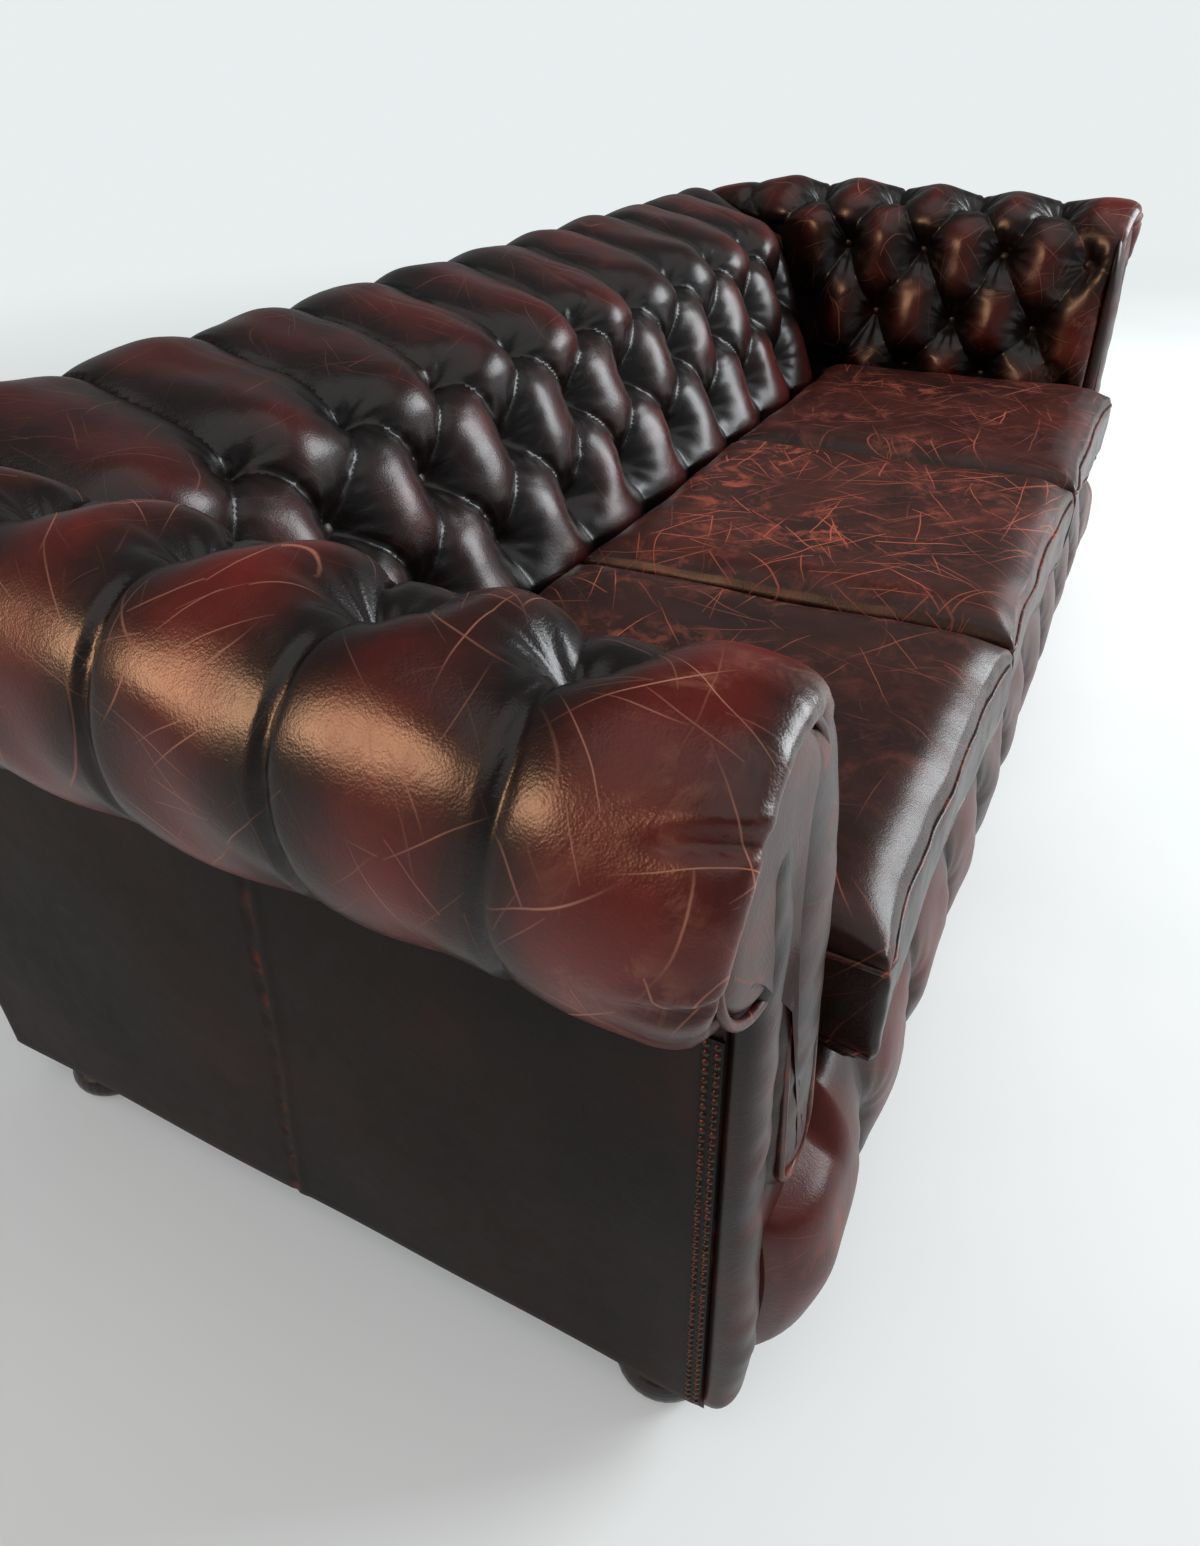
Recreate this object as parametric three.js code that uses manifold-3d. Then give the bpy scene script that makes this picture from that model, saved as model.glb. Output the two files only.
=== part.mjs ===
// Three-seat buttoned leather sofa with full-height scroll arms, three loose seat cushions and bun feet.
// Millimetres. +X runs along the length, the front faces -Y and +Z is up. "left" is the -X side, as seen by
// someone who faces the sofa. It is drawn from a datum near the seat's middle, and moved at the end so that the
// origin is the middle of its footprint.
import * as THREE from 'three';
import { mergeVertices } from 'three/addons/utils/BufferGeometryUtils.js';
import Module from 'manifold-3d';

const wasm = await Module();
wasm.setup();

// ---- driving dimensions ----
const GAP = 0.4;                     // clearance between pieces that touch
const LEATHER = 2.0;                 // leather with its wadding
const CIRCLE_STEPS = 30;             // facets in a full roll

// arms: a roll over a nearly upright inner face
const ROLL_X = 890;                  // middle of the arm roll
const ROLL_Z = 612;                  // height of the arm roll's middle at y = 0
const ROLL_R = 100;
const ARM_RISE = 0.045;              // the arms drop towards the front by this slope
const ARM_START = -75;               // where the cover tucks under the roll, degrees
const ARM_FACE_X = 768;              // inner face at the cushions
const ARM_FACE_Z = 430;              // the face is plumb below this height
const PAD_BOTTOM = 318;              // lower edge of the inside padding
const PANEL_X = 915;                 // outer face of the outside arm panel
const PANEL_THICK = 4;

// back: a roll joined by a gentle top to a rounded crest and a raked face
const BACK_ROLL_Y = 402;
const BACK_ROLL_Z = 602;
const BACK_ROLL_R = 100;
const CREST_Y = 262;
const CREST_Z = 592;
const CREST_R = 78;
const BACK_START = -57;
const BACK_FACE_Y = 105;
const BACK_FACE_Z = 405;
const PANEL_Y = 456;                 // outer face of the outside back panel

// frame
const BASE_BOTTOM = 52;              // underside of the rails
const SEAT_RAIL_TOP = 278.5;
const FRAME_FRONT = -366;
const FRAME_REAR = 450;
const FRAME_X = 905;                 // outer face of the posts and side rails
const POST = 50;                     // post width along X
const BOARD = 32;                    // thickness of the front rail and posts along Y
const SIDE_RAIL = 25;
const SEAT_BACK_RAIL_Y = 205;
const BLOCK_LEG = 80;
const PANEL_BOTTOM = 45;

// feet
const FOOT_X = 870;
const FOOT_FRONT_Y = -315;
const FOOT_REAR_Y = 362;
const FOOT_R = 45;
const FOOT_TOP = 49.6;
const BOLT_R = 4;

// front of the arms
const BOARD_FRONT = -373;
const FACING_FRONT = -387;
const KEYHOLE_R = 82;                // the scroll board is smaller than the roll, whose leather turns in to it
const STEM_IN = 778;
const STEM_OUT = 868;
const STEM_BOTTOM = 278;

// apron and seat
const APRON_X = 867.5;
const APRON_BULGE = 60;
const APRON_LOW = 50;
const APRON_TOP = 292;
const CUSHION_WIDTH = 503;
const CUSHION_FRONT = -422;
const CUSHION_REAR = 102;
const CUSHION_BOTTOM = 297;
const CUSHION_THICK = 135;
const CUSHION_ROUND = 24;
const CASE_WALL = 2.5;

// ---- materials ----
const finish = (color, roughness, metalness = 0) => new THREE.MeshStandardMaterial({ color, roughness, metalness });
const LEATHER_RED = '#4a1613';
const LEATHER_DARK = '#23120f';
const BEECH = '#b8905f';
const FOAM = '#d9c99a';

const sofa = new THREE.Group();

function addPart(name, geometry, color, roughness, metalness) {
  const mesh = new THREE.Mesh(geometry, finish(color, roughness, metalness));
  mesh.name = name;
  sofa.add(mesh);
}

// ---- solids ----
function solidOf(geometry) {
  const bare = geometry.clone();
  bare.deleteAttribute('normal');
  bare.deleteAttribute('uv');
  const merged = mergeVertices(bare, 1e-3);
  const vertProperties = new Float32Array(merged.attributes.position.array);
  const triVerts = new Uint32Array(merged.index.array);
  return new wasm.Manifold(new wasm.Mesh({ numProp: 3, vertProperties, triVerts }));
}

function geometryOf(solid) {
  const mesh = solid.getMesh();
  const geometry = new THREE.BufferGeometry();
  geometry.setAttribute('position', new THREE.BufferAttribute(mesh.vertProperties, 3));
  geometry.setIndex(new THREE.BufferAttribute(mesh.triVerts, 1));
  geometry.computeVertexNormals();
  return geometry;
}

function cut(geometry, ...cutters) {
  let solid = solidOf(geometry);
  for (const cutter of cutters) solid = solid.subtract(solidOf(cutter));
  return geometryOf(solid);
}

function join(first, ...others) {
  let solid = solidOf(first);
  for (const other of others) solid = solid.add(solidOf(other));
  return geometryOf(solid);
}

function keep(geometry, region) {
  return geometryOf(solidOf(geometry).intersect(solidOf(region)));
}

// a block between two corners
function block([x0, x1], [y0, y1], [z0, z1]) {
  const geometry = new THREE.BoxGeometry(x1 - x0, y1 - y0, z1 - z0);
  return geometry.translate((x0 + x1) / 2, (y0 + y1) / 2, (z0 + z1) / 2);
}

// a tall round cutter
function upright(r, x, y) {
  return new THREE.CylinderGeometry(r, r, 400, 20).rotateX(Math.PI / 2).translate(x, y, 0);
}

function grown([x, y, z], by = GAP) {
  return block([x[0] - by, x[1] + by], [y[0] - by, y[1] + by], [z[0] - by, z[1] + by]);
}

function extrude(points, depth) {
  const shape = new THREE.Shape(points.map(([u, v]) => new THREE.Vector2(u, v)));
  return new THREE.ExtrudeGeometry(shape, { depth, bevelEnabled: false });
}

// outlines in (x, z) swept along Y, in (y, z) swept along X, and in (x, y) swept along Z
const alongY = (points, [y0, y1]) => extrude(points, y1 - y0).rotateX(Math.PI / 2).translate(0, y1, 0);
const alongZ = (points, [z0, z1]) => extrude(points, z1 - z0).translate(0, 0, z0);
function alongX(points, [x0, x1]) {
  const turn = new THREE.Matrix4().set(0, 0, 1, x0, 1, 0, 0, 0, 0, 1, 0, 0, 0, 0, 0, 1);
  return extrude(points, x1 - x0).applyMatrix4(turn);
}

// the arm's slope: height grows with y
const SLOPE = new THREE.Matrix4().set(1, 0, 0, 0, 0, 1, 0, 0, 0, ARM_RISE, 1, 0, 0, 0, 0, 1);
const sloped = (geometry) => geometry.applyMatrix4(SLOPE);

function mirrored(geometry) {
  const copy = geometry.clone();
  copy.deleteAttribute('uv');
  const whole = copy.index ? copy.toNonIndexed() : copy;
  whole.scale(-1, 1, 1);
  const place = whole.attributes.position;
  for (let i = 0; i < place.count; i += 3) {
    const [x, y, z] = [place.getX(i), place.getY(i), place.getZ(i)];
    place.setXYZ(i, place.getX(i + 1), place.getY(i + 1), place.getZ(i + 1));
    place.setXYZ(i + 1, x, y, z);
  }
  whole.computeVertexNormals();
  return whole;
}

// a right-hand piece and its mirror image
function addPair(name, geometry, ...look) {
  addPart(`${name}_right`, geometry, ...look);
  addPart(`${name}_left`, mirrored(geometry), ...look);
}

function arc(cx, cy, r, from, to) {
  const steps = Math.max(2, Math.ceil(Math.abs(to - from) / 360 * CIRCLE_STEPS));
  return Array.from({ length: steps + 1 }, (_, i) => {
    const angle = THREE.MathUtils.degToRad(from + (to - from) * i / steps);
    return [cx + r * Math.cos(angle), cy + r * Math.sin(angle)];
  });
}

// the angle, in degrees, at which a line from a point outside touches a circle
function tangentAngle(cx, cy, r, px, py) {
  const toPoint = Math.atan2(py - cy, px - cx);
  const turn = Math.acos(r / Math.hypot(px - cx, py - cy));
  return (THREE.MathUtils.radToDeg(toPoint - turn) + 360) % 360;
}

// ---- outlines of the padded arm and back, set in by a distance ----
const ARM_TANGENT = tangentAngle(ROLL_X, ROLL_Z, ROLL_R, ARM_FACE_X, ARM_FACE_Z);
function armOutline(inset) {
  const roll = arc(ROLL_X, ROLL_Z, ROLL_R - inset, ARM_START, ARM_TANGENT);
  return [...roll, [ARM_FACE_X + inset, ARM_FACE_Z], [ARM_FACE_X + inset, PAD_BOTTOM]];
}

const CREST_GAP = Math.hypot(CREST_Y - BACK_ROLL_Y, CREST_Z - BACK_ROLL_Z);
const CREST_TURN = Math.atan2(CREST_Z - BACK_ROLL_Z, CREST_Y - BACK_ROLL_Y);
const TOP_ANGLE = THREE.MathUtils.radToDeg(CREST_TURN - Math.acos((BACK_ROLL_R - CREST_R) / CREST_GAP)) + 360;
const BACK_TANGENT = tangentAngle(CREST_Y, CREST_Z, CREST_R, BACK_FACE_Y, BACK_FACE_Z);
function backOutline(inset) {
  const roll = arc(BACK_ROLL_Y, BACK_ROLL_Z, BACK_ROLL_R - inset, BACK_START, TOP_ANGLE);
  const crest = arc(CREST_Y, CREST_Z, CREST_R - inset, TOP_ANGLE, BACK_TANGENT);
  return [...roll, ...crest, [BACK_FACE_Y + inset, BACK_FACE_Z], [BACK_FACE_Y + inset, PAD_BOTTOM]];
}

const shell = (outline) => [...outline(0), ...outline(LEATHER).reverse()];

// plan of the right corner: the mitre runs from the inner corner through the roll's middle
const MITRE_SPAN = 210;
const mitre = [
  [ROLL_X + MITRE_SPAN, BACK_ROLL_Y + MITRE_SPAN],
  [ROLL_X, BACK_ROLL_Y],
  [ARM_FACE_X, BACK_FACE_Y],
  [ARM_FACE_X - MITRE_SPAN, BACK_FACE_Y - MITRE_SPAN * (BACK_ROLL_Y - BACK_FACE_Y) / (ROLL_X - ARM_FACE_X)],
];
const FAR = 1200;
const armRegion = alongZ([[FAR, -FAR], [FAR, FAR], ...mitre, [mitre[3][0], -FAR]].map(([x, y]) => [x + GAP, y]), [0, FAR]);
const mitreLeft = mitre.map(([x, y]) => [-x, y]).reverse();
const backRegion = alongZ([...mitreLeft, [-FAR, FAR], [FAR, FAR], ...mitre].map(([x, y]) => [x, y + GAP]), [0, FAR]);

// ---- hardwood frame ----
const postX = [FRAME_X - POST, FRAME_X];
const sideX = [FRAME_X - SIDE_RAIL, FRAME_X];
const betweenPostsX = [-(postX[0] - GAP), postX[0] - GAP];
const frontPostY = [FRAME_FRONT, FRAME_FRONT + BOARD];
const rearPostY = [FRAME_REAR - 40, FRAME_REAR];
const sideRailY = [frontPostY[1] + GAP, rearPostY[0] - GAP];
const topRailX = [860, 920];
const topRailZ = [590, 634];
const seatRailZ = [BASE_BOTTOM, SEAT_RAIL_TOP];
const frontPost = [postX, frontPostY, [BASE_BOTTOM, topRailZ[0] + ARM_RISE * FRAME_FRONT - GAP]];
const rearPost = [postX, rearPostY, [BASE_BOTTOM, topRailZ[0] + ARM_RISE * rearPostY[0] - GAP]];
const backTopRail = [betweenPostsX, [380, 425], [585, 630]];

addPart('front_rail', block(betweenPostsX, frontPostY, seatRailZ), BEECH, 0.7, 0);
addPart('rear_bottom_rail', block(betweenPostsX, [418, FRAME_REAR], [BASE_BOTTOM, 152]), BEECH, 0.7, 0);
addPart('rear_tack_rail', block(betweenPostsX, [428, FRAME_REAR], [470, 510]), BEECH, 0.7, 0);
addPart('back_top_rail', block(...backTopRail), BEECH, 0.7, 0);
addPart('back_seat_rail', block([-sideX[0] + GAP, sideX[0] - GAP], [SEAT_BACK_RAIL_Y, 237], [215, SEAT_RAIL_TOP]), BEECH, 0.7, 0);
addPair('side_rail', block(sideX, sideRailY, seatRailZ), BEECH, 0.7, 0);
addPair('arm_front_post', block(...frontPost), BEECH, 0.7, 0);
addPair('arm_rear_post', block(...rearPost), BEECH, 0.7, 0);
addPair('arm_top_rail', sloped(block(topRailX, [FRAME_FRONT, FRAME_REAR], topRailZ)), BEECH, 0.7, 0);
addPair('arm_tack_rail', block(sideX, sideRailY, [450, 485]), BEECH, 0.7, 0);

const CROSS_RAIL_X = 250;
addPair('cross_rail', block([CROSS_RAIL_X - 20, CROSS_RAIL_X + 20], [frontPostY[1] + GAP, 418 - GAP], [62, 128]), BEECH, 0.7, 0);

// raked uprights behind the back padding
const UPRIGHT_FOOT = [237 + GAP, 270];
const UPRIGHT_HEAD = [368, 400];
const uprightSide = [
  [UPRIGHT_FOOT[0], 215],
  [UPRIGHT_FOOT[1], 215],
  [UPRIGHT_HEAD[1], backTopRail[2][0] - GAP],
  [UPRIGHT_HEAD[0], backTopRail[2][0] - GAP],
];
const UPRIGHT_WIDTH = 45;
[['left', -430], ['centre', 0], ['right', 430]].forEach(([side, x]) => {
  const stile = alongX(uprightSide, [x - UPRIGHT_WIDTH / 2, x + UPRIGHT_WIDTH / 2]);
  addPart(`back_upright_${side}`, stile, BEECH, 0.7, 0);
});

// ---- feet, their bolts and the glued corner blocks ----
const BORE_R = BOLT_R + GAP;
const FOOT_FLAT_R = 30;
const FOOT_NECK_R = 30;
const FOOT_BORE_FLOOR = 18;
const BLOCK_TOP = 112;
const NUT_ACROSS = 7.5;
const footProfile = [
  [0, 0],
  [FOOT_FLAT_R, 0],
  ...arc(FOOT_R - 20, 20, 20, -60, 60),
  [FOOT_NECK_R, 41],
  [FOOT_NECK_R, FOOT_TOP],
  [BORE_R, FOOT_TOP],
  [BORE_R, FOOT_BORE_FLOOR],
  [0, FOOT_BORE_FLOOR],
];
[['front', FOOT_FRONT_Y, frontPostY[1] + GAP, 1], ['rear', FOOT_REAR_Y, rearPostY[0] - GAP, -1]].forEach(
  ([end, footY, cornerY, inward]) => {
    const foot = new THREE.LatheGeometry(footProfile.map(([r, z]) => new THREE.Vector2(r, z)), 32);
    addPair(`foot_${end}`, foot.rotateX(Math.PI / 2).translate(FOOT_X, footY, 0), '#150d0b', 0.4, 0);

    const rod = new THREE.CylinderGeometry(BOLT_R, BOLT_R, 118 - FOOT_BORE_FLOOR - GAP, 20).rotateX(Math.PI / 2);
    rod.translate(FOOT_X, footY, (118 + FOOT_BORE_FLOOR + GAP) / 2);
    const nut = new THREE.CylinderGeometry(NUT_ACROSS, NUT_ACROSS, 6, 6).rotateX(Math.PI / 2);
    nut.translate(FOOT_X, footY, BLOCK_TOP + GAP + 3);
    addPair(`foot_bolt_${end}`, join(rod, nut), '#a8a9a6', 0.35, 1);

    const cornerX = sideX[0] - GAP;
    const plan = [[cornerX, cornerY], [cornerX - BLOCK_LEG, cornerY], [cornerX, cornerY + inward * BLOCK_LEG]];
    const cornerBlock = cut(alongZ(plan, [BASE_BOTTOM, BLOCK_TOP]), upright(BORE_R, FOOT_X, footY));
    addPair(`corner_block_${end}`, cornerBlock, BEECH, 0.7, 0);
  },
);

// ---- seat support and the cloth under the frame ----
const STRAP = 50;
const STRAP_THICK = 2.4;
const strapZ = [SEAT_RAIL_TOP + GAP, SEAT_RAIL_TOP + GAP + STRAP_THICK];
const crossZ = [strapZ[0] + 0.3, strapZ[1] - 0.3];
const crossStraps = [-290, -200, -110, -20, 70, 160].map((y) => block([-FRAME_X, FRAME_X], [y - STRAP / 2, y + STRAP / 2], crossZ));
const longStraps = Array.from({ length: 9 }, (_, i) => 180 * (i - 4))
  .map((x) => block([x - STRAP / 2, x + STRAP / 2], [FRAME_FRONT, 237], strapZ));
addPart('seat_webbing', join(...crossStraps, ...longStraps), '#2b2a28', 0.9, 0);
addPart('seat_deck', block([-850, 850], [FRAME_FRONT + 2, 235], [strapZ[1] + GAP, CUSHION_BOTTOM - GAP]), '#3a3430', 0.95, 0);

const boltHoles = [-FOOT_X, FOOT_X].flatMap((x) => [FOOT_FRONT_Y, FOOT_REAR_Y].map((y) => upright(BORE_R + 2, x, y)));
const underside = [[-FRAME_X, FRAME_FRONT], [FRAME_X, FRAME_FRONT], [FRAME_X, FRAME_REAR], [-FRAME_X, FRAME_REAR]];
addPart('dust_cover', cut(alongZ(underside, [FOOT_TOP + GAP, BASE_BOTTOM - GAP]), ...boltHoles), '#161514', 0.95, 0);

// ---- padding ----
const PAD_INSET = LEATHER + GAP;
const armPadBack = [[832, PAD_BOTTOM], [832, 560], [857, 587], [857, 637], [923, 637], [923, 587], [905, 545]];
const armPadSolid = sloped(alongY([...armOutline(PAD_INSET), ...armPadBack], [FRAME_FRONT, BACK_ROLL_Y + BACK_ROLL_R - PAD_INSET]));
const railChannel = sloped(block([topRailX[0] - 1, topRailX[1] + 1], [FRAME_FRONT - 9, FRAME_REAR + 1], [585, topRailZ[1] + 1]));
addPair('arm_foam', cut(keep(armPadSolid, armRegion), grown(frontPost, 1), grown(rearPost, 1), grown(backTopRail, 1), railChannel), FOAM, 0.95, 0);

const backPadBack = [[272, PAD_BOTTOM], [365, 584], [365, 631], [432.6, 631], [432.6, 560], [446, 530]];
const backPadSolid = alongX([...backOutline(PAD_INSET), ...backPadBack], [-ROLL_X - ROLL_R + PAD_INSET, ROLL_X + ROLL_R - PAD_INSET]);
const mirrorBlock = ([[x0, x1], y, z]) => [[-x1, -x0], y, z];
addPart('back_foam', cut(keep(backPadSolid, backRegion), grown(rearPost, 1), grown(mirrorBlock(rearPost), 1), railChannel, mirrored(railChannel)), FOAM, 0.95, 0);

// an upright half ellipse that bulges to the front
const apronMiddle = (APRON_LOW + APRON_TOP) / 2;
const APRON_REAR = FRAME_FRONT - GAP - 1;
const apronOutline = (inset) => arc(0, 0, 1, 90, 270).map(([u, v]) => [
  APRON_REAR + u * (APRON_BULGE - inset),
  apronMiddle + v * (APRON_TOP - APRON_LOW - 2 * inset) / 2,
]);
// the apron runs low under the arm facings and at full height between the arms
const underFacing = [[STEM_IN - 12, APRON_X + 5], [-500, -300], [STEM_BOTTOM + ARM_RISE * BOARD_FRONT - 4, 400]];
const lowered = (geometry) => cut(geometry, block(...underFacing), block(...mirrorBlock(underFacing)));
const apronCover = alongX([...apronOutline(0), ...apronOutline(LEATHER).reverse()], [-APRON_X, APRON_X]);
addPart('apron_foam', lowered(alongX(apronOutline(PAD_INSET), [-APRON_X, APRON_X])), FOAM, 0.95, 0);
addPart('apron_cover', lowered(apronCover), LEATHER_DARK, 0.4, 0);

// ---- leather covers ----
const armCover = sloped(alongY(shell(armOutline), [BOARD_FRONT - 2, BACK_ROLL_Y + BACK_ROLL_R]));
addPair('arm_cover', keep(armCover, armRegion), LEATHER_RED, 0.35, 0);
const backCover = alongX(shell(backOutline), [-ROLL_X - ROLL_R, ROLL_X + ROLL_R]);
addPart('back_cover', keep(backCover, backRegion), LEATHER_DARK, 0.35, 0);

const ARM_PANEL_CORNER = 514;
const armPanelTop = ROLL_Z + ROLL_R * Math.sin(THREE.MathUtils.degToRad(ARM_START)) - 1;
const armPanel = [
  [FRAME_FRONT, PANEL_BOTTOM],
  [PANEL_Y, PANEL_BOTTOM],
  [PANEL_Y, ARM_PANEL_CORNER],
  [PANEL_Y - 20, armPanelTop + ARM_RISE * (PANEL_Y - 20)],
  [FRAME_FRONT, armPanelTop + ARM_RISE * FRAME_FRONT],
];
addPair('outside_arm_panel', alongX(armPanel, [PANEL_X - PANEL_THICK, PANEL_X]), LEATHER_DARK, 0.45, 0);
const backPanelX = PANEL_X - PANEL_THICK - GAP;
addPart('outside_back_panel', block([-backPanelX, backPanelX], [PANEL_Y - PANEL_THICK, PANEL_Y], [PANEL_BOTTOM, 517]), LEATHER_DARK, 0.45, 0);

// ---- scroll fronts: a plywood keyhole board in the mouth of each arm cover, and its padded facing ----
function keyhole(inset) {
  const r = KEYHOLE_R - inset;
  const stemIn = STEM_IN + inset;
  const stemOut = STEM_OUT - inset;
  const half = (stemOut - stemIn) / 2;
  const underRoll = THREE.MathUtils.radToDeg(-Math.acos((stemOut - ROLL_X) / r));
  const inner = 180 + THREE.MathUtils.radToDeg(Math.asin(Math.min(0, stemIn - ROLL_X + r) / r));
  return [
    ...arc(stemIn + half, STEM_BOTTOM + inset + half, half, 180, 360),
    ...arc(ROLL_X, ROLL_Z, r, underRoll, inner),
    [stemIn, ROLL_Z - 60],
  ];
}
const BOARD_INSET = 10;
addPair('facing_board', sloped(alongY(keyhole(BOARD_INSET), [BOARD_FRONT, FRAME_FRONT - GAP])), '#a98352', 0.75, 0);

const FACING_INSET = 18;
addPair('arm_facing', sloped(alongY(keyhole(FACING_INSET), [FACING_FRONT, BOARD_FRONT - GAP])), LEATHER_DARK, 0.35, 0);

// a padded border down the outer front edge, with a strip of studs beside it
const BORDER_IN = 872;
const BORDER_TOP = 494;
const BORDER_BULGE = 28;
const BORDER_REAR = FRAME_FRONT - GAP;
const borderMiddle = (BORDER_IN + PANEL_X) / 2;
const borderPlan = arc(0, 0, 1, 180, 360).map(([u, v]) => [borderMiddle + u * (PANEL_X - BORDER_IN) / 2, BORDER_REAR + v * BORDER_BULGE]);
addPair('front_border', alongZ(borderPlan, [PANEL_BOTTOM, BORDER_TOP]), LEATHER_DARK, 0.35, 0);
addPair('stud_strip', block([PANEL_X + GAP, PANEL_X + 2.6], [FRAME_FRONT + 2, FRAME_FRONT + 16], [60, 490]), '#1b0f0d', 0.4, 0);

// ---- loose seat cushions: a leather case with a zip slot behind, and a foam core ----
function cushionBlock(x0, x1, inset) {
  const round = CUSHION_ROUND - inset;
  const shape = new THREE.Shape();
  const edge = inset + round;
  shape.moveTo(x0 + edge, CUSHION_FRONT + edge);
  shape.lineTo(x1 - edge, CUSHION_FRONT + edge);
  shape.lineTo(x1 - edge, CUSHION_REAR - edge);
  shape.lineTo(x0 + edge, CUSHION_REAR - edge);
  const bevel = { bevelEnabled: true, bevelThickness: round, bevelSize: round, bevelSegments: 3 };
  const core = new THREE.ExtrudeGeometry(shape, { depth: CUSHION_THICK - 2 * CUSHION_ROUND, ...bevel });
  return core.translate(0, 0, CUSHION_BOTTOM + CUSHION_ROUND);
}
const ZIP_HALF = 180;
const ZIP_HEIGHT = 3;
const zipZ = CUSHION_BOTTOM + CUSHION_THICK / 2;
['left', 'centre', 'right'].forEach((seat, i) => {
  const x0 = (i - 1.5) * CUSHION_WIDTH + GAP;
  const x1 = (i - 0.5) * CUSHION_WIDTH - GAP;
  const middle = (x0 + x1) / 2;
  const zip = block([middle - ZIP_HALF, middle + ZIP_HALF], [CUSHION_REAR - 8, CUSHION_REAR + 8], [zipZ - ZIP_HEIGHT / 2, zipZ + ZIP_HEIGHT / 2]);
  addPart(`cushion_case_${seat}`, cut(cushionBlock(x0, x1, 0), cushionBlock(x0, x1, CASE_WALL), zip), LEATHER_RED, 0.4, 0);
  addPart(`cushion_core_${seat}`, cushionBlock(x0, x1, CASE_WALL + GAP), FOAM, 0.95, 0);
});

// ---- put the origin in the middle of the footprint ----
const middle = new THREE.Box3().setFromObject(sofa).getCenter(new THREE.Vector3());
sofa.children.forEach((mesh) => mesh.geometry.translate(-middle.x, -middle.y, 0));

export default sofa;
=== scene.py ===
import math
import bmesh
import bpy
import numpy as np
from mathutils import Matrix, Vector
from mathutils.bvhtree import BVHTree


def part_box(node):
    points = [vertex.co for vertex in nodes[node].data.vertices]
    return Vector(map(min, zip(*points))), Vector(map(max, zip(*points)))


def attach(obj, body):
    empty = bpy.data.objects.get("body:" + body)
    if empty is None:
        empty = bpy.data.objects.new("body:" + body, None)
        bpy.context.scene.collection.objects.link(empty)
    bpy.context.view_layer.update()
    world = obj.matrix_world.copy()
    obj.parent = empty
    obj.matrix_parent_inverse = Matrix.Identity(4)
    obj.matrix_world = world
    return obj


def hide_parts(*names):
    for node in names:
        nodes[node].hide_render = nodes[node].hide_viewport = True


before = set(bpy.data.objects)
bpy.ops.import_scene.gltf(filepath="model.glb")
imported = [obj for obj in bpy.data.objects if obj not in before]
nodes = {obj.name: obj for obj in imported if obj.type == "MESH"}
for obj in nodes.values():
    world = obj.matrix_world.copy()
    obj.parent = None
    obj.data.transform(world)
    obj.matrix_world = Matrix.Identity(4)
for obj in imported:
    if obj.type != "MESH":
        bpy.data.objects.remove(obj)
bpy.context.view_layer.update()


# ---------------------------------------------------------------------------
# Hardwood frame: sawn beech rails and posts, glued and screwed. It is wholly
# inside the upholstery.
# ---------------------------------------------------------------------------
def paint(hex_colour):
    """An sRGB hex colour as linear RGBA."""
    parts = [int(hex_colour[i:i + 2], 16) / 255 for i in (1, 3, 5)]
    return [c / 12.92 if c <= 0.04045 else ((c + 0.055) / 1.055) ** 2.4 for c in parts] + [1.0]


def add(tree, kind, inputs=None, **settings):
    """Adds a node with its settings, and its inputs as values or links."""
    node = tree.nodes.new(kind)
    for name, value in settings.items():
        setattr(node, name, value)
    for name, value in (inputs or {}).items():
        if isinstance(value, bpy.types.NodeSocket):
            tree.links.new(value, node.inputs[name])
        else:
            node.inputs[name].default_value = value
    return node


def new_material(name):
    material = bpy.data.materials.new(name)
    material.use_nodes = True
    tree = material.node_tree
    return material, tree, tree.nodes["Principled BSDF"]


def shade(tree, shader, **values):
    """Sets or links the shader's sockets, named with underscores for spaces."""
    for name, value in values.items():
        socket = shader.inputs[name.replace("_", " ")]
        if isinstance(value, bpy.types.NodeSocket):
            tree.links.new(value, socket)
        else:
            socket.default_value = value


def ramp(tree, factor, *stops):
    """A colour ramp with (position, hex colour or grey value) stops."""
    node = add(tree, "ShaderNodeValToRGB", {"Fac": factor})
    elements = node.color_ramp.elements
    while len(elements) < len(stops):
        elements.new(0.5)
    for element, (position, colour) in zip(elements, stops):
        element.position = position
        element.color = paint(colour) if isinstance(colour, str) else [colour, colour, colour, 1.0]
    return node.outputs["Color"]


def calc(tree, operation, a, b=0.0, clamp=False):
    node = add(tree, "ShaderNodeMath", operation=operation, use_clamp=clamp)
    for socket, value in zip(node.inputs, (a, b)):
        if isinstance(value, bpy.types.NodeSocket):
            tree.links.new(value, socket)
        else:
            socket.default_value = value
    return node.outputs[0]


def blend_colours(tree, factor, first, second, blend_type="MIX"):
    node = add(tree, "ShaderNodeMix", data_type="RGBA", blend_type=blend_type, clamp_factor=True)
    for socket, value in zip((node.inputs[0], node.inputs[6], node.inputs[7]), (factor, first, second)):
        if isinstance(value, bpy.types.NodeSocket):
            tree.links.new(value, socket)
        else:
            socket.default_value = value
    return node.outputs[2]


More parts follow.
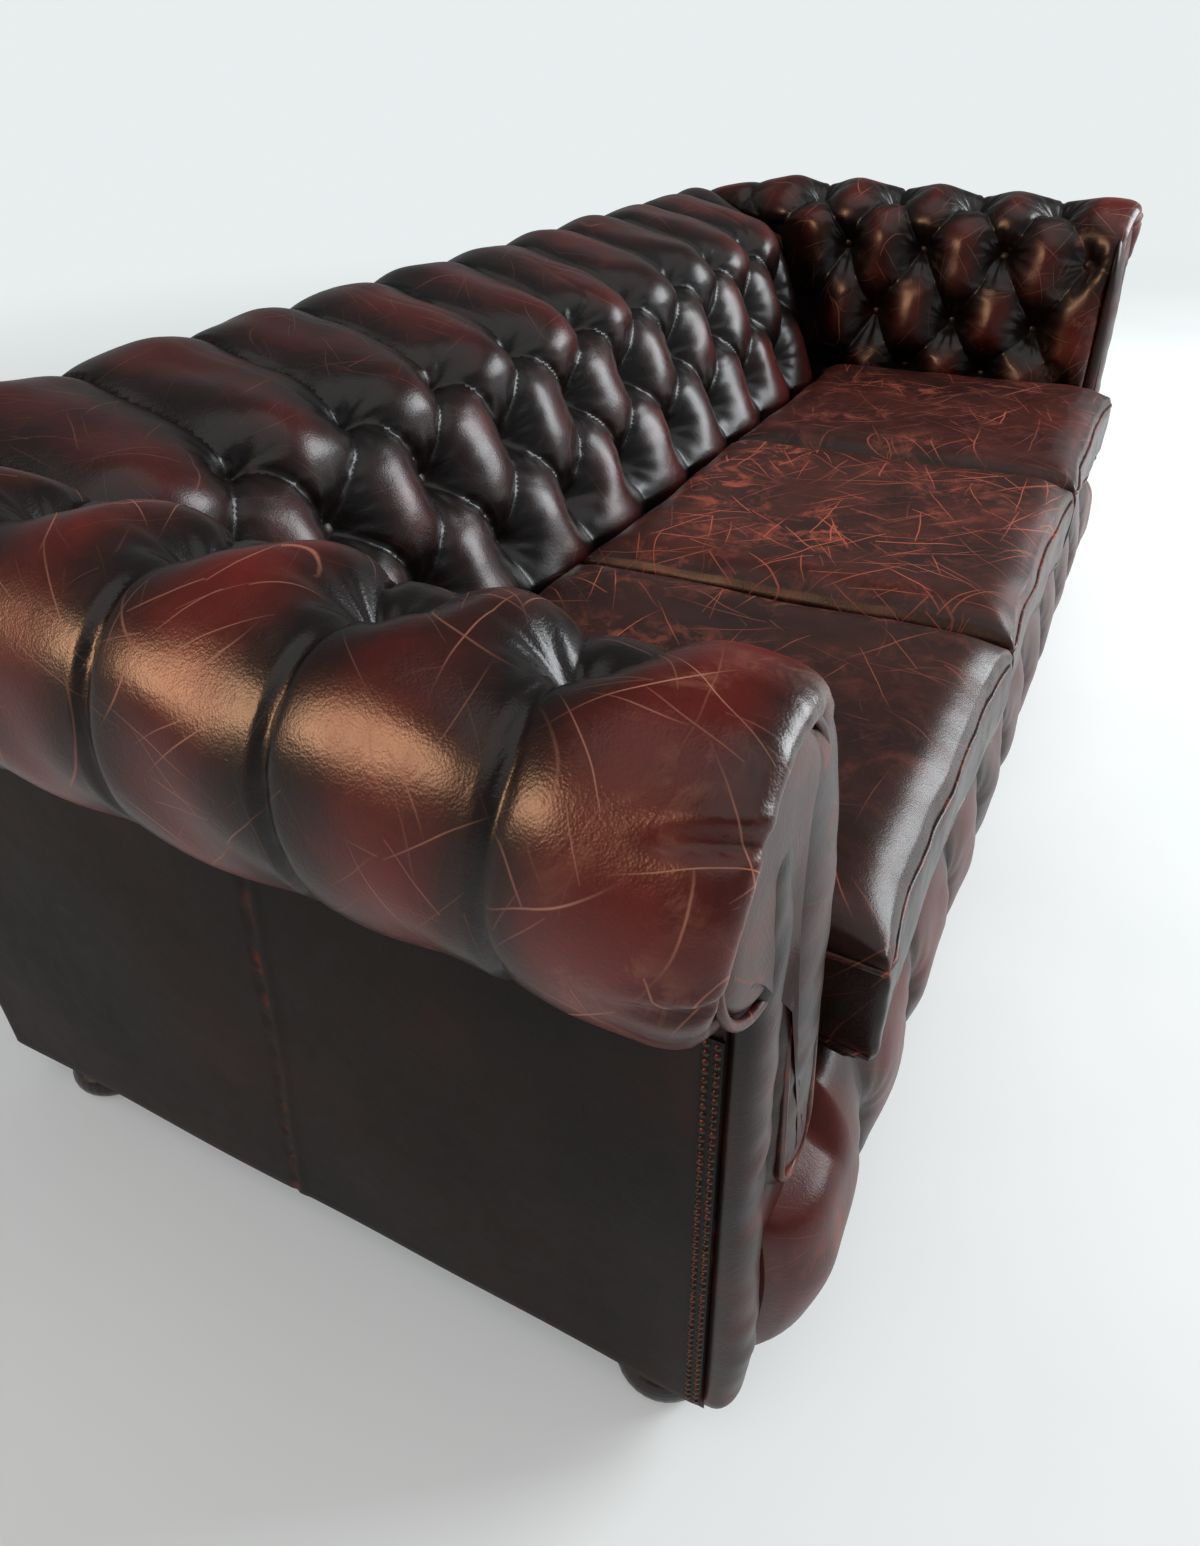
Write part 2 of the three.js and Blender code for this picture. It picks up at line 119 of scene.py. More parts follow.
def sawn_wood(name, light, dark, grain_axis):
    """Beech straight from the saw: matt, pale brown, with grain along one axis, 4 mm between dark lines."""
    material, tree, shader = new_material(name)
    place = add(tree, "ShaderNodeTexCoord").outputs["Object"]
    stretch = [60.0, 60.0, 60.0]
    stretch[grain_axis] = 3.0
    turned = add(tree, "ShaderNodeMapping", {"Vector": place, "Scale": stretch})
    grain = add(tree, "ShaderNodeTexNoise", {"Vector": turned.outputs[0], "Scale": 4.0, "Detail": 5.0, "Distortion": 0.4})
    colour = ramp(tree, grain.outputs["Fac"], (0.32, dark), (0.68, light))
    bump = add(tree, "ShaderNodeBump", {"Height": grain.outputs["Fac"], "Strength": 0.3, "Distance": 0.0005})
    shade(tree, shader, Base_Color=colour, Roughness=0.68, Normal=bump.outputs[0])
    return material


def give_material(node_names, material):
    for name in node_names:
        nodes[name].data.materials.clear()
        nodes[name].data.materials.append(material)


beech_long = sawn_wood("beech_rails_sawn", "#c79a66", "#a97a49", 0)
beech_deep = sawn_wood("beech_side_rails_sawn", "#c79a66", "#a97a49", 1)
beech_tall = sawn_wood("beech_posts_sawn", "#c79a66", "#a97a49", 2)
give_material(["front_rail", "rear_bottom_rail", "rear_tack_rail", "back_top_rail", "back_seat_rail"], beech_long)
give_material([f"{n}_{s}" for n in ("side_rail", "arm_top_rail", "arm_tack_rail", "cross_rail", "corner_block_front",
                                    "corner_block_rear") for s in ("left", "right")], beech_deep)
give_material([f"{n}_{s}" for n in ("arm_front_post", "arm_rear_post") for s in ("left", "right")]
              + [f"back_upright_{s}" for s in ("left", "centre", "right")], beech_tall)


# ---------------------------------------------------------------------------
# Bun feet: turned wood with near-black lacquer, each on a zinc-plated hanger
# bolt through a glued corner block.
# ---------------------------------------------------------------------------
def black_lacquer():
    """Brushed lacquer: nearly black brown, half gloss, dusty towards the floor."""
    material, tree, shader = new_material("turned_foot_black_lacquer")
    place = add(tree, "ShaderNodeTexCoord").outputs["Object"]
    height = add(tree, "ShaderNodeSeparateXYZ", {"Vector": place}).outputs["Z"]
    dust = add(tree, "ShaderNodeTexNoise", {"Vector": place, "Scale": 90.0, "Detail": 4.0})
    low = calc(tree, "MULTIPLY", calc(tree, "SUBTRACT", 0.018, height, True), 22.0, True)
    dusty = calc(tree, "MULTIPLY", low, dust.outputs["Fac"], True)
    colour = blend_colours(tree, dusty, paint("#150c09"), paint("#6d6259"))
    roughness = calc(tree, "ADD", calc(tree, "MULTIPLY", dust.outputs["Fac"], 0.15), 0.26)
    bump = add(tree, "ShaderNodeBump", {"Height": dust.outputs["Fac"], "Strength": 0.25, "Distance": 0.0004})
    shade(tree, shader, Base_Color=colour, Roughness=roughness, Normal=bump.outputs[0])
    return material


def zinc_steel():
    """Zinc-plated steel: pale grey metal with a fine cloudy variation in gloss."""
    material, tree, shader = new_material("bolt_zinc_plated_steel")
    place = add(tree, "ShaderNodeTexCoord").outputs["Object"]
    cloud = add(tree, "ShaderNodeTexNoise", {"Vector": place, "Scale": 220.0, "Detail": 3.0})
    roughness = calc(tree, "ADD", calc(tree, "MULTIPLY", cloud.outputs["Fac"], 0.2), 0.26)
    shade(tree, shader, Base_Color=paint("#a8a9a6"), Metallic=1.0, Roughness=roughness)
    return material


give_material([f"foot_{e}_{s}" for e in ("front", "rear") for s in ("left", "right")], black_lacquer())
give_material([f"foot_bolt_{e}_{s}" for e in ("front", "rear") for s in ("left", "right")], zinc_steel())


# ---------------------------------------------------------------------------
# Webbing, seat deck and dust cloth: woven straps under a lined deck, and black
# cloth tacked under the frame.
# ---------------------------------------------------------------------------
def woven_cloth(name, colour_hex, thread):
    """Plain weave with threads a few tenths of a millimetre apart, drawn coarser so that they show."""
    material, tree, shader = new_material(name)
    place = add(tree, "ShaderNodeTexCoord").outputs["Object"]
    turns = 1.0 / thread
    warp = add(tree, "ShaderNodeTexWave", {"Vector": place, "Scale": turns / 6.3, "Distortion": 0.6}, bands_direction="X")
    weft = add(tree, "ShaderNodeTexWave", {"Vector": place, "Scale": turns / 6.3, "Distortion": 0.6}, bands_direction="Y")
    weave = calc(tree, "MULTIPLY", warp.outputs["Fac"], weft.outputs["Fac"])
    base = paint(colour_hex)
    colour = blend_colours(tree, weave, [c * 0.55 for c in base[:3]] + [1.0], base)
    bump = add(tree, "ShaderNodeBump", {"Height": weave, "Strength": 0.5, "Distance": thread * 0.3})
    shade(tree, shader, Base_Color=colour, Roughness=0.92, Normal=bump.outputs[0])
    return material


give_material(["seat_webbing"], woven_cloth("seat_webbing_elastic", "#3a3835", 0.0025))
give_material(["seat_deck"], woven_cloth("seat_deck_lining", "#4a423c", 0.0012))
give_material(["dust_cover"], woven_cloth("dust_cover_black_cloth", "#232120", 0.0012))


# ---------------------------------------------------------------------------
# Tufted leather over the arms: oxblood hide pulled down onto deep buttons, with
# folded creases between them and pleats that run over the roll to the tuck.
# ---------------------------------------------------------------------------
def worn_leather(name, fold_shade_and_dark_tone, body, crown, scratch, crackle, scuff, wear_amount=0.0, gloss=0.30, specular=0.34,
                 spacing=1.0, width=1.0, patchy=0.44):
    """Semi-gloss pigmented hide: dark in its folds and hollows by painted shade, redder where it is rubbed, with dry
    scratches
    60 to 160 mm long and about 1 mm wide. Its pebble grain is really half a millimetre and is
    drawn at 1.6 mm so that it shows. The masks "crown" and "wear" come with each piece; where crown is low, the fold
    colour is painted shade, and where the patches are dark it is a darker tone."""
    material, tree, shader = new_material(name)
    place = add(tree, "ShaderNodeTexCoord").outputs["Object"]
    high = add(tree, "ShaderNodeAttribute", attribute_name="crown").outputs["Fac"]
    worn = add(tree, "ShaderNodeAttribute", attribute_name="wear").outputs["Fac"]
    patches = add(tree, "ShaderNodeTexNoise", {"Vector": place, "Scale": 7.0, "Detail": 3.0,
                                               "Roughness": 0.55}).outputs["Fac"]
    mottle = add(tree, "ShaderNodeTexNoise", {"Vector": place, "Scale": 38.0, "Detail": 4.0, "Roughness": 0.62,
                                              "Distortion": 0.6}).outputs["Fac"]
    cloudy = calc(tree, "MULTIPLY", calc(tree, "SUBTRACT", patches, 0.5), 1.1)
    tone = calc(tree, "ADD", calc(tree, "MULTIPLY", high, 0.75), cloudy)
    tone = calc(tree, "ADD", tone, calc(tree, "MULTIPLY", calc(tree, "SUBTRACT", mottle, 0.5), 0.35), True)
    # painted shade: the lowest stop, the fold colour, darkens the creases, button hollows and clefts where the crown
    # mask is low; the random patches and mottle also reach it
    colour = ramp(tree, tone, (0.12, fold_shade_and_dark_tone), (0.45, body), (0.86, crown))

    # dry scratches: each cell of a loose scatter holds one straight line in its own direction
    wobble = add(tree, "ShaderNodeTexNoise", {"Vector": place, "Scale": 9.0, "Detail": 2.0})
    bent = add(tree, "ShaderNodeVectorMath", {0: wobble.outputs["Color"], 1: (0.5, 0.5, 0.5)}, operation="SUBTRACT")
    bent = add(tree, "ShaderNodeVectorMath", {0: bent.outputs[0], "Scale": 0.013}, operation="SCALE")
    bent = add(tree, "ShaderNodeVectorMath", {0: place, 1: bent.outputs[0]}, operation="ADD").outputs[0]
    lines = None
    # offset of the scatter, spacing of its cells and half width of a line in metres, scale of the patches that show it
    for shift, spread, half_width, patch_scale in (
            (0.0, 0.085, 0.00034, 6.0), (3.1, 0.062, 0.00030, 7.0), (7.7, 0.110, 0.00036, 5.0),
            (11.3, 0.075, 0.00026, 8.0), (15.9, 0.070, 0.00030, 6.5), (21.7, 0.095, 0.00030, 5.5),
            (27.3, 0.088, 0.00026, 7.5), (33.1, 0.103, 0.00028, 6.0), (41.9, 0.066, 0.00028, 7.0)):
        half_width = half_width * width
        moved = add(tree, "ShaderNodeVectorMath", {0: bent, 1: (shift, shift * 0.7, -shift)}, operation="ADD").outputs[0]
        cells = add(tree, "ShaderNodeTexVoronoi", {"Vector": moved, "Scale": 1.0 / (spread * spacing)}, feature="F1")
        away = add(tree, "ShaderNodeVectorMath", {0: moved, 1: cells.outputs["Position"]}, operation="SUBTRACT").outputs[0]
        heading = add(tree, "ShaderNodeVectorMath", {0: cells.outputs["Color"], 1: (0.5, 0.5, 0.5)}, operation="SUBTRACT")
        heading = add(tree, "ShaderNodeVectorMath", {0: heading.outputs[0]}, operation="NORMALIZE").outputs[0]
        beside = add(tree, "ShaderNodeVectorMath", {0: away, 1: heading}, operation="DOT_PRODUCT").outputs["Value"]
        line = add(tree, "ShaderNodeMapRange", {"Value": calc(tree, "ABSOLUTE", beside), "From Min": half_width * 0.5,
                                                "From Max": half_width * 1.9, "To Min": 1.0, "To Max": 0.0})
        patch = add(tree, "ShaderNodeTexNoise", {"Vector": moved, "Scale": patch_scale, "Detail": 1.0})
        shown = add(tree, "ShaderNodeMapRange", {"Value": patch.outputs["Fac"], "From Min": patchy,
                                                 "From Max": patchy + 0.12})
        tip = add(tree, "ShaderNodeMapRange", {"Value": cells.outputs["Distance"], "From Min": 0.20, "From Max": 0.62,
                                               "To Min": 1.0, "To Max": 0.10})
        one = calc(tree, "MULTIPLY", calc(tree, "MULTIPLY", line.outputs[0], shown.outputs[0]), tip.outputs[0])
        lines = one if lines is None else calc(tree, "MAXIMUM", lines, one)
    dry = calc(tree, "ADD", calc(tree, "MULTIPLY", high, crackle), calc(tree, "MULTIPLY", worn, wear_amount))
    cracked = calc(tree, "MULTIPLY", lines, dry, True)
    rubbed = add(tree, "ShaderNodeTexNoise", {"Vector": bent, "Scale": 26.0, "Detail": 5.0, "Roughness": 0.70,
                                              "Distortion": 0.6}).outputs["Fac"]
    rubbed = add(tree, "ShaderNodeMapRange", {"Value": rubbed, "From Min": 0.50, "From Max": 0.72}).outputs[0]
    rubbed = calc(tree, "MULTIPLY", rubbed, calc(tree, "ADD", calc(tree, "MULTIPLY", high, scuff), worn), True)
    colour = blend_colours(tree, rubbed, colour, paint(scratch))
    colour = blend_colours(tree, cracked, colour, paint(scratch))

    # pebbles 1.6 mm apart over fine creases about 10 mm apart
    grain = add(tree, "ShaderNodeTexVoronoi", {"Vector": place, "Scale": 620.0}, feature="F1").outputs["Distance"]
    creasing = add(tree, "ShaderNodeTexNoise", {"Vector": bent, "Scale": 95.0, "Detail": 2.0, "Roughness": 0.55,
                                                "Distortion": 1.6}).outputs["Fac"]
    relief = calc(tree, "ADD", calc(tree, "MULTIPLY", grain, 0.00016), calc(tree, "MULTIPLY", creasing, 0.00035))
    bump = add(tree, "ShaderNodeBump", {"Height": relief, "Strength": 0.55, "Distance": 1.0})
    dull = calc(tree, "ADD", calc(tree, "MULTIPLY", mottle, 0.18), gloss - 0.06)
    dull = calc(tree, "ADD", dull, calc(tree, "MULTIPLY", calc(tree, "MAXIMUM", cracked, rubbed), 0.28), True)
    shade(tree, shader, Base_Color=colour, Roughness=dull, Normal=bump.outputs[0], Coat_Weight=0.06, Coat_Roughness=0.20,
          Specular_IOR_Level=specular, IOR=1.45)
    return material


# full-grain hide, polished by hands: a rubbed red on the crowns, painted shade in its folds, long pale scratches and a
# wide soft shine
arm_leather = worn_leather("arm_oxblood_hide", "#130a08", "#33110c", "#6c1a11", "#bd7a62", 0.95, 0.02, 0.8,
                           gloss=0.29, specular=0.40)

ROLL_X, ROLL_Z, ROLL_R = 0.890, 0.6137, 0.100     # centre and radius of the arm rolls
ARM_RISE = 0.045                                  # the rolls rise by this much per metre towards the back
ARM_FACE = (0.768, 0.4317)                        # foot of the arm's inner face
ARM_FRONT = -0.4245                               # foremost leather of the rolls, round the facings
FRONT_LEAN = 0.047                                # the facings come forward towards the floor
PAD_BOTTOM = 0.318
BACK_ROLL_Y, BACK_ROLL_Z = 0.3645, 0.602
CREST_Y, CREST_Z, CREST_R = 0.2245, 0.592, 0.078  # the back's padding turns down over this crest
BACK_FACE = (0.0675, 0.405)
CELL = 0.0037                                     # spacing of the mesh on the arms' leather


def arc_points(u, z, radius, start, end):
    angle = np.radians(np.linspace(start, end, max(4, int(abs(end - start) / 1.5))))
    return np.column_stack([u + radius * np.cos(angle), z + radius * np.sin(angle)])


def touching_angle(u, z, radius, point):
    """Where a line from a point touches a circle, in degrees."""
    to_point = math.atan2(point[1] - z, point[0] - u)
    return math.degrees(to_point - math.acos(radius / math.hypot(point[0] - u, point[1] - z))) % 360


class Profile:
    """A section through padding, from the tuck under the roll, over it and down the inner face. keys are
    arc lengths of the tuck, the outermost point, the top, the start of the flat face, its foot and the end."""

    def __init__(self, stretches):
        points = [stretches[0]]
        for before, stretch in zip(stretches, stretches[1:]):
            points.append(stretch[1:] if np.allclose(stretch[0], before[-1], atol=1e-6) else stretch)
        self.points = np.vstack(points)
        steps = np.hypot(*np.diff(self.points, axis=0).T)
        self.length = np.concatenate([[0.0], np.cumsum(steps)])
        ends = np.cumsum([len(p) for p in points]) - 1
        self.keys = np.concatenate([[0.0], self.length[ends]])
        tangent = np.gradient(self.points, self.length, axis=0)
        for _ in range(6):
            tangent[1:-1] = (tangent[:-2] + 2 * tangent[1:-1] + tangent[2:]) / 4
        self.normals = np.column_stack([tangent[:, 1], -tangent[:, 0]]) / np.linalg.norm(tangent, axis=1)[:, None]

    def at(self, distance):
        place = [np.interp(distance, self.length, self.points[:, k]) for k in (0, 1)]
        normal = [np.interp(distance, self.length, self.normals[:, k]) for k in (0, 1)]
        return place[0], place[1], normal[0], normal[1]


def point_on(u, z, radius, angle):
    return u + radius * math.cos(math.radians(angle)), z + radius * math.sin(math.radians(angle))


arm_touch = touching_angle(ROLL_X, ROLL_Z, ROLL_R, ARM_FACE)
arm_profile = Profile([
    arc_points(ROLL_X, ROLL_Z, ROLL_R, -75, 0),
    arc_points(ROLL_X, ROLL_Z, ROLL_R, 0, 90),
    arc_points(ROLL_X, ROLL_Z, ROLL_R, 90, arm_touch),
    np.linspace(point_on(ROLL_X, ROLL_Z, ROLL_R, arm_touch), ARM_FACE, 50),
    np.linspace(ARM_FACE, (ARM_FACE[0], PAD_BOTTOM), 30),
])
crest_gap = math.hypot(CREST_Y - BACK_ROLL_Y, CREST_Z - BACK_ROLL_Z)
crest_heading = math.atan2(CREST_Z - BACK_ROLL_Z, CREST_Y - BACK_ROLL_Y)
top_angle = (math.degrees(crest_heading - math.acos((ROLL_R - CREST_R) / crest_gap)) + 360) % 360
back_touch = touching_angle(CREST_Y, CREST_Z, CREST_R, BACK_FACE)
back_profile = Profile([
    arc_points(BACK_ROLL_Y, BACK_ROLL_Z, ROLL_R, -57, 0),
    arc_points(BACK_ROLL_Y, BACK_ROLL_Z, ROLL_R, 0, 90),
    np.vstack([arc_points(BACK_ROLL_Y, BACK_ROLL_Z, ROLL_R, 90, top_angle),
               arc_points(CREST_Y, CREST_Z, CREST_R, top_angle, back_touch)]),
    np.linspace(point_on(CREST_Y, CREST_Z, CREST_R, back_touch), BACK_FACE, 50),
    np.linspace(BACK_FACE, (BACK_FACE[0], PAD_BOTTOM), 30),
])
STATIONS = arm_profile.keys / arm_profile.keys[-1]


def ripple(a, b, seed, size):
    """Smooth, repeatable unevenness between about -1 and 1 with bumps of the given size."""
    pick = np.random.default_rng(seed)
    total = np.zeros_like(a)
    for _ in range(7):
        direction = pick.uniform(0, 2 * math.pi)
        pace = 2 * math.pi / size * pick.uniform(0.6, 1.6)
        total += np.sin(pace * (a * math.cos(direction) + b * math.sin(direction)) + pick.uniform(0, 6.3))
    return total / 3.2


def swell(x):
    """A stuffed section between two creases: 0 at x = 0 and 1, steep there, and 1 in the middle."""
    return np.sqrt(np.clip(4 * x * (1 - x), 0, 1) + 0.012) * 1.006 - 0.11


def tufting(s, t, columns, rows, front_plain, seed, pleat_depth, narrowing=0.74, crease=0.016, lift=0.004,
            funnel=0.012, pit=0.012, second_fold=1.0):
    """Depth of tufted leather at s along the roll and t down its section. columns are the first row's
    button places along s, rows their places along t. crease, funnel and pit are the depths of the folds
    between buttons, of the hollow round a button and of the hole it sits in. Returns the height and the
    crown mask, which is low in the creases and round each button so that the fold colour paints shade there."""
    s = s + 0.004 * ripple(s, t, seed, 0.14)
    t = t + 0.004 * ripple(s, t, seed + 1, 0.16)
    count = len(columns)
    pitch = (columns[-1] - columns[0]) / (count - 1)
    column = np.interp(s, columns, np.arange(count))
    column = np.where(s < columns[0], (s - columns[0]) / pitch, column)
    column = np.where(s > columns[-1], count - 1 + (s - columns[-1]) / pitch, column)
    row = np.interp(t, rows, np.arange(len(rows)))
    row = np.where(t < rows[0], (t - rows[0]) / (rows[1] - rows[0]), row)
    row = np.where(t > rows[-1], len(rows) - 1 + (t - rows[-1]) / (rows[-1] - rows[-2]), row)
    last = len(rows) - 1
    inside = np.clip(row, 0, last)
    down = (column + inside / 2) % 1
    up = (column - inside / 2) % 1
    puff = swell(down ** 1.18) * swell(1 - (1 - up) ** 1.18)
    up_roll = np.clip(rows[0] - t, 0, 1)
    narrow = np.clip(up_roll / 0.10, 0, 1)
    puff = np.where(row < 0, np.clip(puff, 0, 1) ** (1 - narrowing * narrow * (2 - narrow)), puff)
    soft = np.clip(swell(down) * swell(1 - up), 0, 1)
    if front_plain:
        # the creases of the front bay end at its foremost buttons
        edge = -0.5 * (1 - np.abs(inside % 2 - 1)) * (row > 0)
        beyond = np.clip(edge - column, 0, 9)
        fade = np.exp(-(beyond / 0.20) ** 1.3)
        puff = np.where(column < edge, 1 - fade, puff)
        soft = np.where(column < edge, 1 - fade, soft)
    puff = np.clip(puff, 0, 1)
    depth = np.where(row < 0, np.interp(up_roll, *pleat_depth), crease)
    height = np.where(row < 0, 0.006 - lift * narrow, 0.006) * soft - depth * (1 - puff)
    # the pleat itself: a sharp fold with a low ridge beside it
    nearest = np.clip(np.round(column), 0, count - 1) if front_plain else np.round(column)
    beside_pleat = (column - nearest) * pitch
    height = height - 0.0030 * (row < 0.05) * np.exp(-(beside_pleat / 0.0036) ** 2)
    height = height + 0.0007 * (row < 0) * np.exp(-((beside_pleat - 0.006) / 0.004) ** 2) * np.clip(up_roll / 0.05, 0, 1)

    # the pit at each button and the gathers round it
    wrinkles = np.zeros_like(s)
    pits = np.zeros_like(s)
    around = np.zeros_like(s)
    funnels = np.zeros_like(s)
    pick = np.random.default_rng(seed + 5)
    for k, row_t in enumerate(rows):
        shift = 0.5 * (k % 2)
        start, stop = (-1 if shift else 0), count
        for n in range(start, stop):
            centre = np.interp(n + shift, np.arange(count), columns)
            if n + shift < 0:
                centre = columns[0] + (n + shift) * pitch
            if n + shift > count - 1:
                centre = columns[-1] + (n + shift - count + 1) * pitch
            ds, dt = s - centre, t - row_t
            distance = np.hypot(ds, dt)
            near = np.exp(-(distance / 0.015) ** 1.7)
            pits = np.maximum(pits, near)
            wide = np.exp(-(distance / 0.037) ** 2)
            funnels = np.maximum(funnels, wide)
            around = np.maximum(around, np.exp(-(distance / 0.050) ** 2))
            folds = pick.integers(9, 13)
            ring = np.exp(-((distance - 0.026) / 0.020) ** 2)
            wave = np.cos(folds * np.arctan2(dt, ds) + pick.uniform(0, 6.3) + 14 * distance)
            wrinkles += ring * wave * pick.uniform(0.7, 1.2)
            # a second thin fold beside each pleat that leaves the first row
            if k == 0:
                above = row_t - t
                beside = centre + pick.uniform(0.014, 0.040) * pick.choice((-1, 1)) * np.clip(1 + above / 0.12, 1, 2.2)
                fade = second_fold * np.clip(above / 0.02, 0, 1) * np.exp(-np.clip(above, 0, 1) / pick.uniform(0.06, 0.16))
                wrinkles -= 1.6 * fade * np.exp(-((s - beside) / 0.0045) ** 2)
    height = height - pit * pits - funnel * funnels + 0.0013 * wrinkles + 0.0022 * ripple(s, t, seed + 2, 0.11) * puff
    # soft drag lines that fan out of the creases
    drag = np.sin(2 * math.pi * (down - up) * 5 + 2.5 * ripple(s, t, seed + 3, 0.09))
    height = height + 0.0007 * drag * np.exp(-(puff / 0.45) ** 2)
    # the crown mask: high on the puffs, low in the creases and round each button, where it paints shade with the fold
    # colour
    return height, np.clip(soft ** 0.8 * 1.12 - 0.8 * around, 0, 1)


def hide_grid(name, across, down, shape, material, thickness=0.0, behind=None):
    """A piece of leather: a grid whose shape function gives each point's place and its crown and worn masks.
    With behind, the grid closes through those points at the back of its padding, and its ends are capped."""
    extra = len(behind(np.zeros(1))) + 1 if behind else 0
    bm = bmesh.new()
    crown_layer = bm.verts.layers.float.new("crown")
    wear_layer = bm.verts.layers.float.new("wear")
    bmesh.ops.create_grid(bm, x_segments=across, y_segments=down + extra, size=0.5)
    verts = list(bm.verts)
    flat = np.array([v.co[:2] for v in verts]) + 0.5
    line = np.round(flat[:, 1] * (down + extra)).astype(int)
    place, crown, wear = shape(flat[:, 0], np.clip(line / down, 0, 1))
    if behind:
        foot, _, _ = shape(flat[:, 0], np.zeros(len(flat)))
        for k, points in enumerate(behind(flat[:, 0])):
            place[line == down + 1 + k] = points[line == down + 1 + k]
        place[line == down + extra] = foot[line == down + extra]
    for vert, co, high, rubbed in zip(verts, place, np.clip(crown, 0, 1), np.clip(wear, 0, 1)):
        vert.co = co
        vert[crown_layer] = high
        vert[wear_layer] = rubbed
    if behind:
        bmesh.ops.remove_doubles(bm, verts=bm.verts, dist=1e-6)
        rim = [e for e in bm.edges if e.is_boundary]
        bmesh.ops.holes_fill(bm, edges=rim, sides=0)
        for edge in rim:
            edge.smooth = False
        bmesh.ops.recalc_face_normals(bm, faces=bm.faces)
    mesh = bpy.data.meshes.new(name)
    bm.to_mesh(mesh)
    bm.free()
    return finish_piece(name, mesh, material, thickness)


def store_masks(mesh, crown, wear):
    """Stores the crown and worn masks, each a number or one value for each vertex."""
    for label, values in (("crown", crown), ("wear", wear)):
        layer = mesh.attributes.new(label, "FLOAT", "POINT")
        layer.data.foreach_set("value", np.full(len(mesh.vertices), values, dtype=np.float32))


def finish_piece(name, mesh, material, thickness=0.0, levels=0):
    for polygon in mesh.polygons:
        polygon.use_smooth = True
    mesh.materials.append(material)
    piece = bpy.data.objects.new(name, mesh)
    bpy.context.scene.collection.objects.link(piece)
    if thickness:
        wall = piece.modifiers.new("thickness", "SOLIDIFY")
        wall.thickness = thickness
        wall.offset = -1
    if levels:
        smooth = piece.modifiers.new("smooth", "SUBSURF")
        smooth.levels = smooth.render_levels = levels
    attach(piece, "root")
    return piece


def quarter_round(distance, reach):
    """1 at the edge, falling to 0 at reach along a quarter circle."""
    x = np.clip(distance / reach, 0, 1)
    return 1 - np.sqrt(np.clip(1 - (1 - x) ** 2, 0, 1))


PLEAT_UP = [0.0, 0.03, 0.07, 0.13, 0.24, 0.37]       # distance above the first row of buttons
ROLL_PLEAT = (PLEAT_UP, [0.012, 0.006, 0.0035, 0.003, 0.003, 0.002])
ARM_ROWS = [0.303, 0.433, 0.544, 0.633]              # from the tuck over the roll
ARM_BUTTONS = {"left": -0.304 + 0.127 * np.arange(5), "right": -0.294 + 0.142 * np.arange(4)}
MITRE_DEPTH = ([0.0, 0.131, 0.288, 0.40, 0.74], [0.006, 0.010, 0.024, 0.040, 0.040])
ARM_ACROSS = int(0.87 / CELL)
END_DEEP, END_IN = 0.028, 0.013       # the roll's front end turns in over this depth, by this much
END_PART = 0.075                      # share of the grid that the turned end takes
END_BACK = -0.372                     # where the padding behind the turned end starts


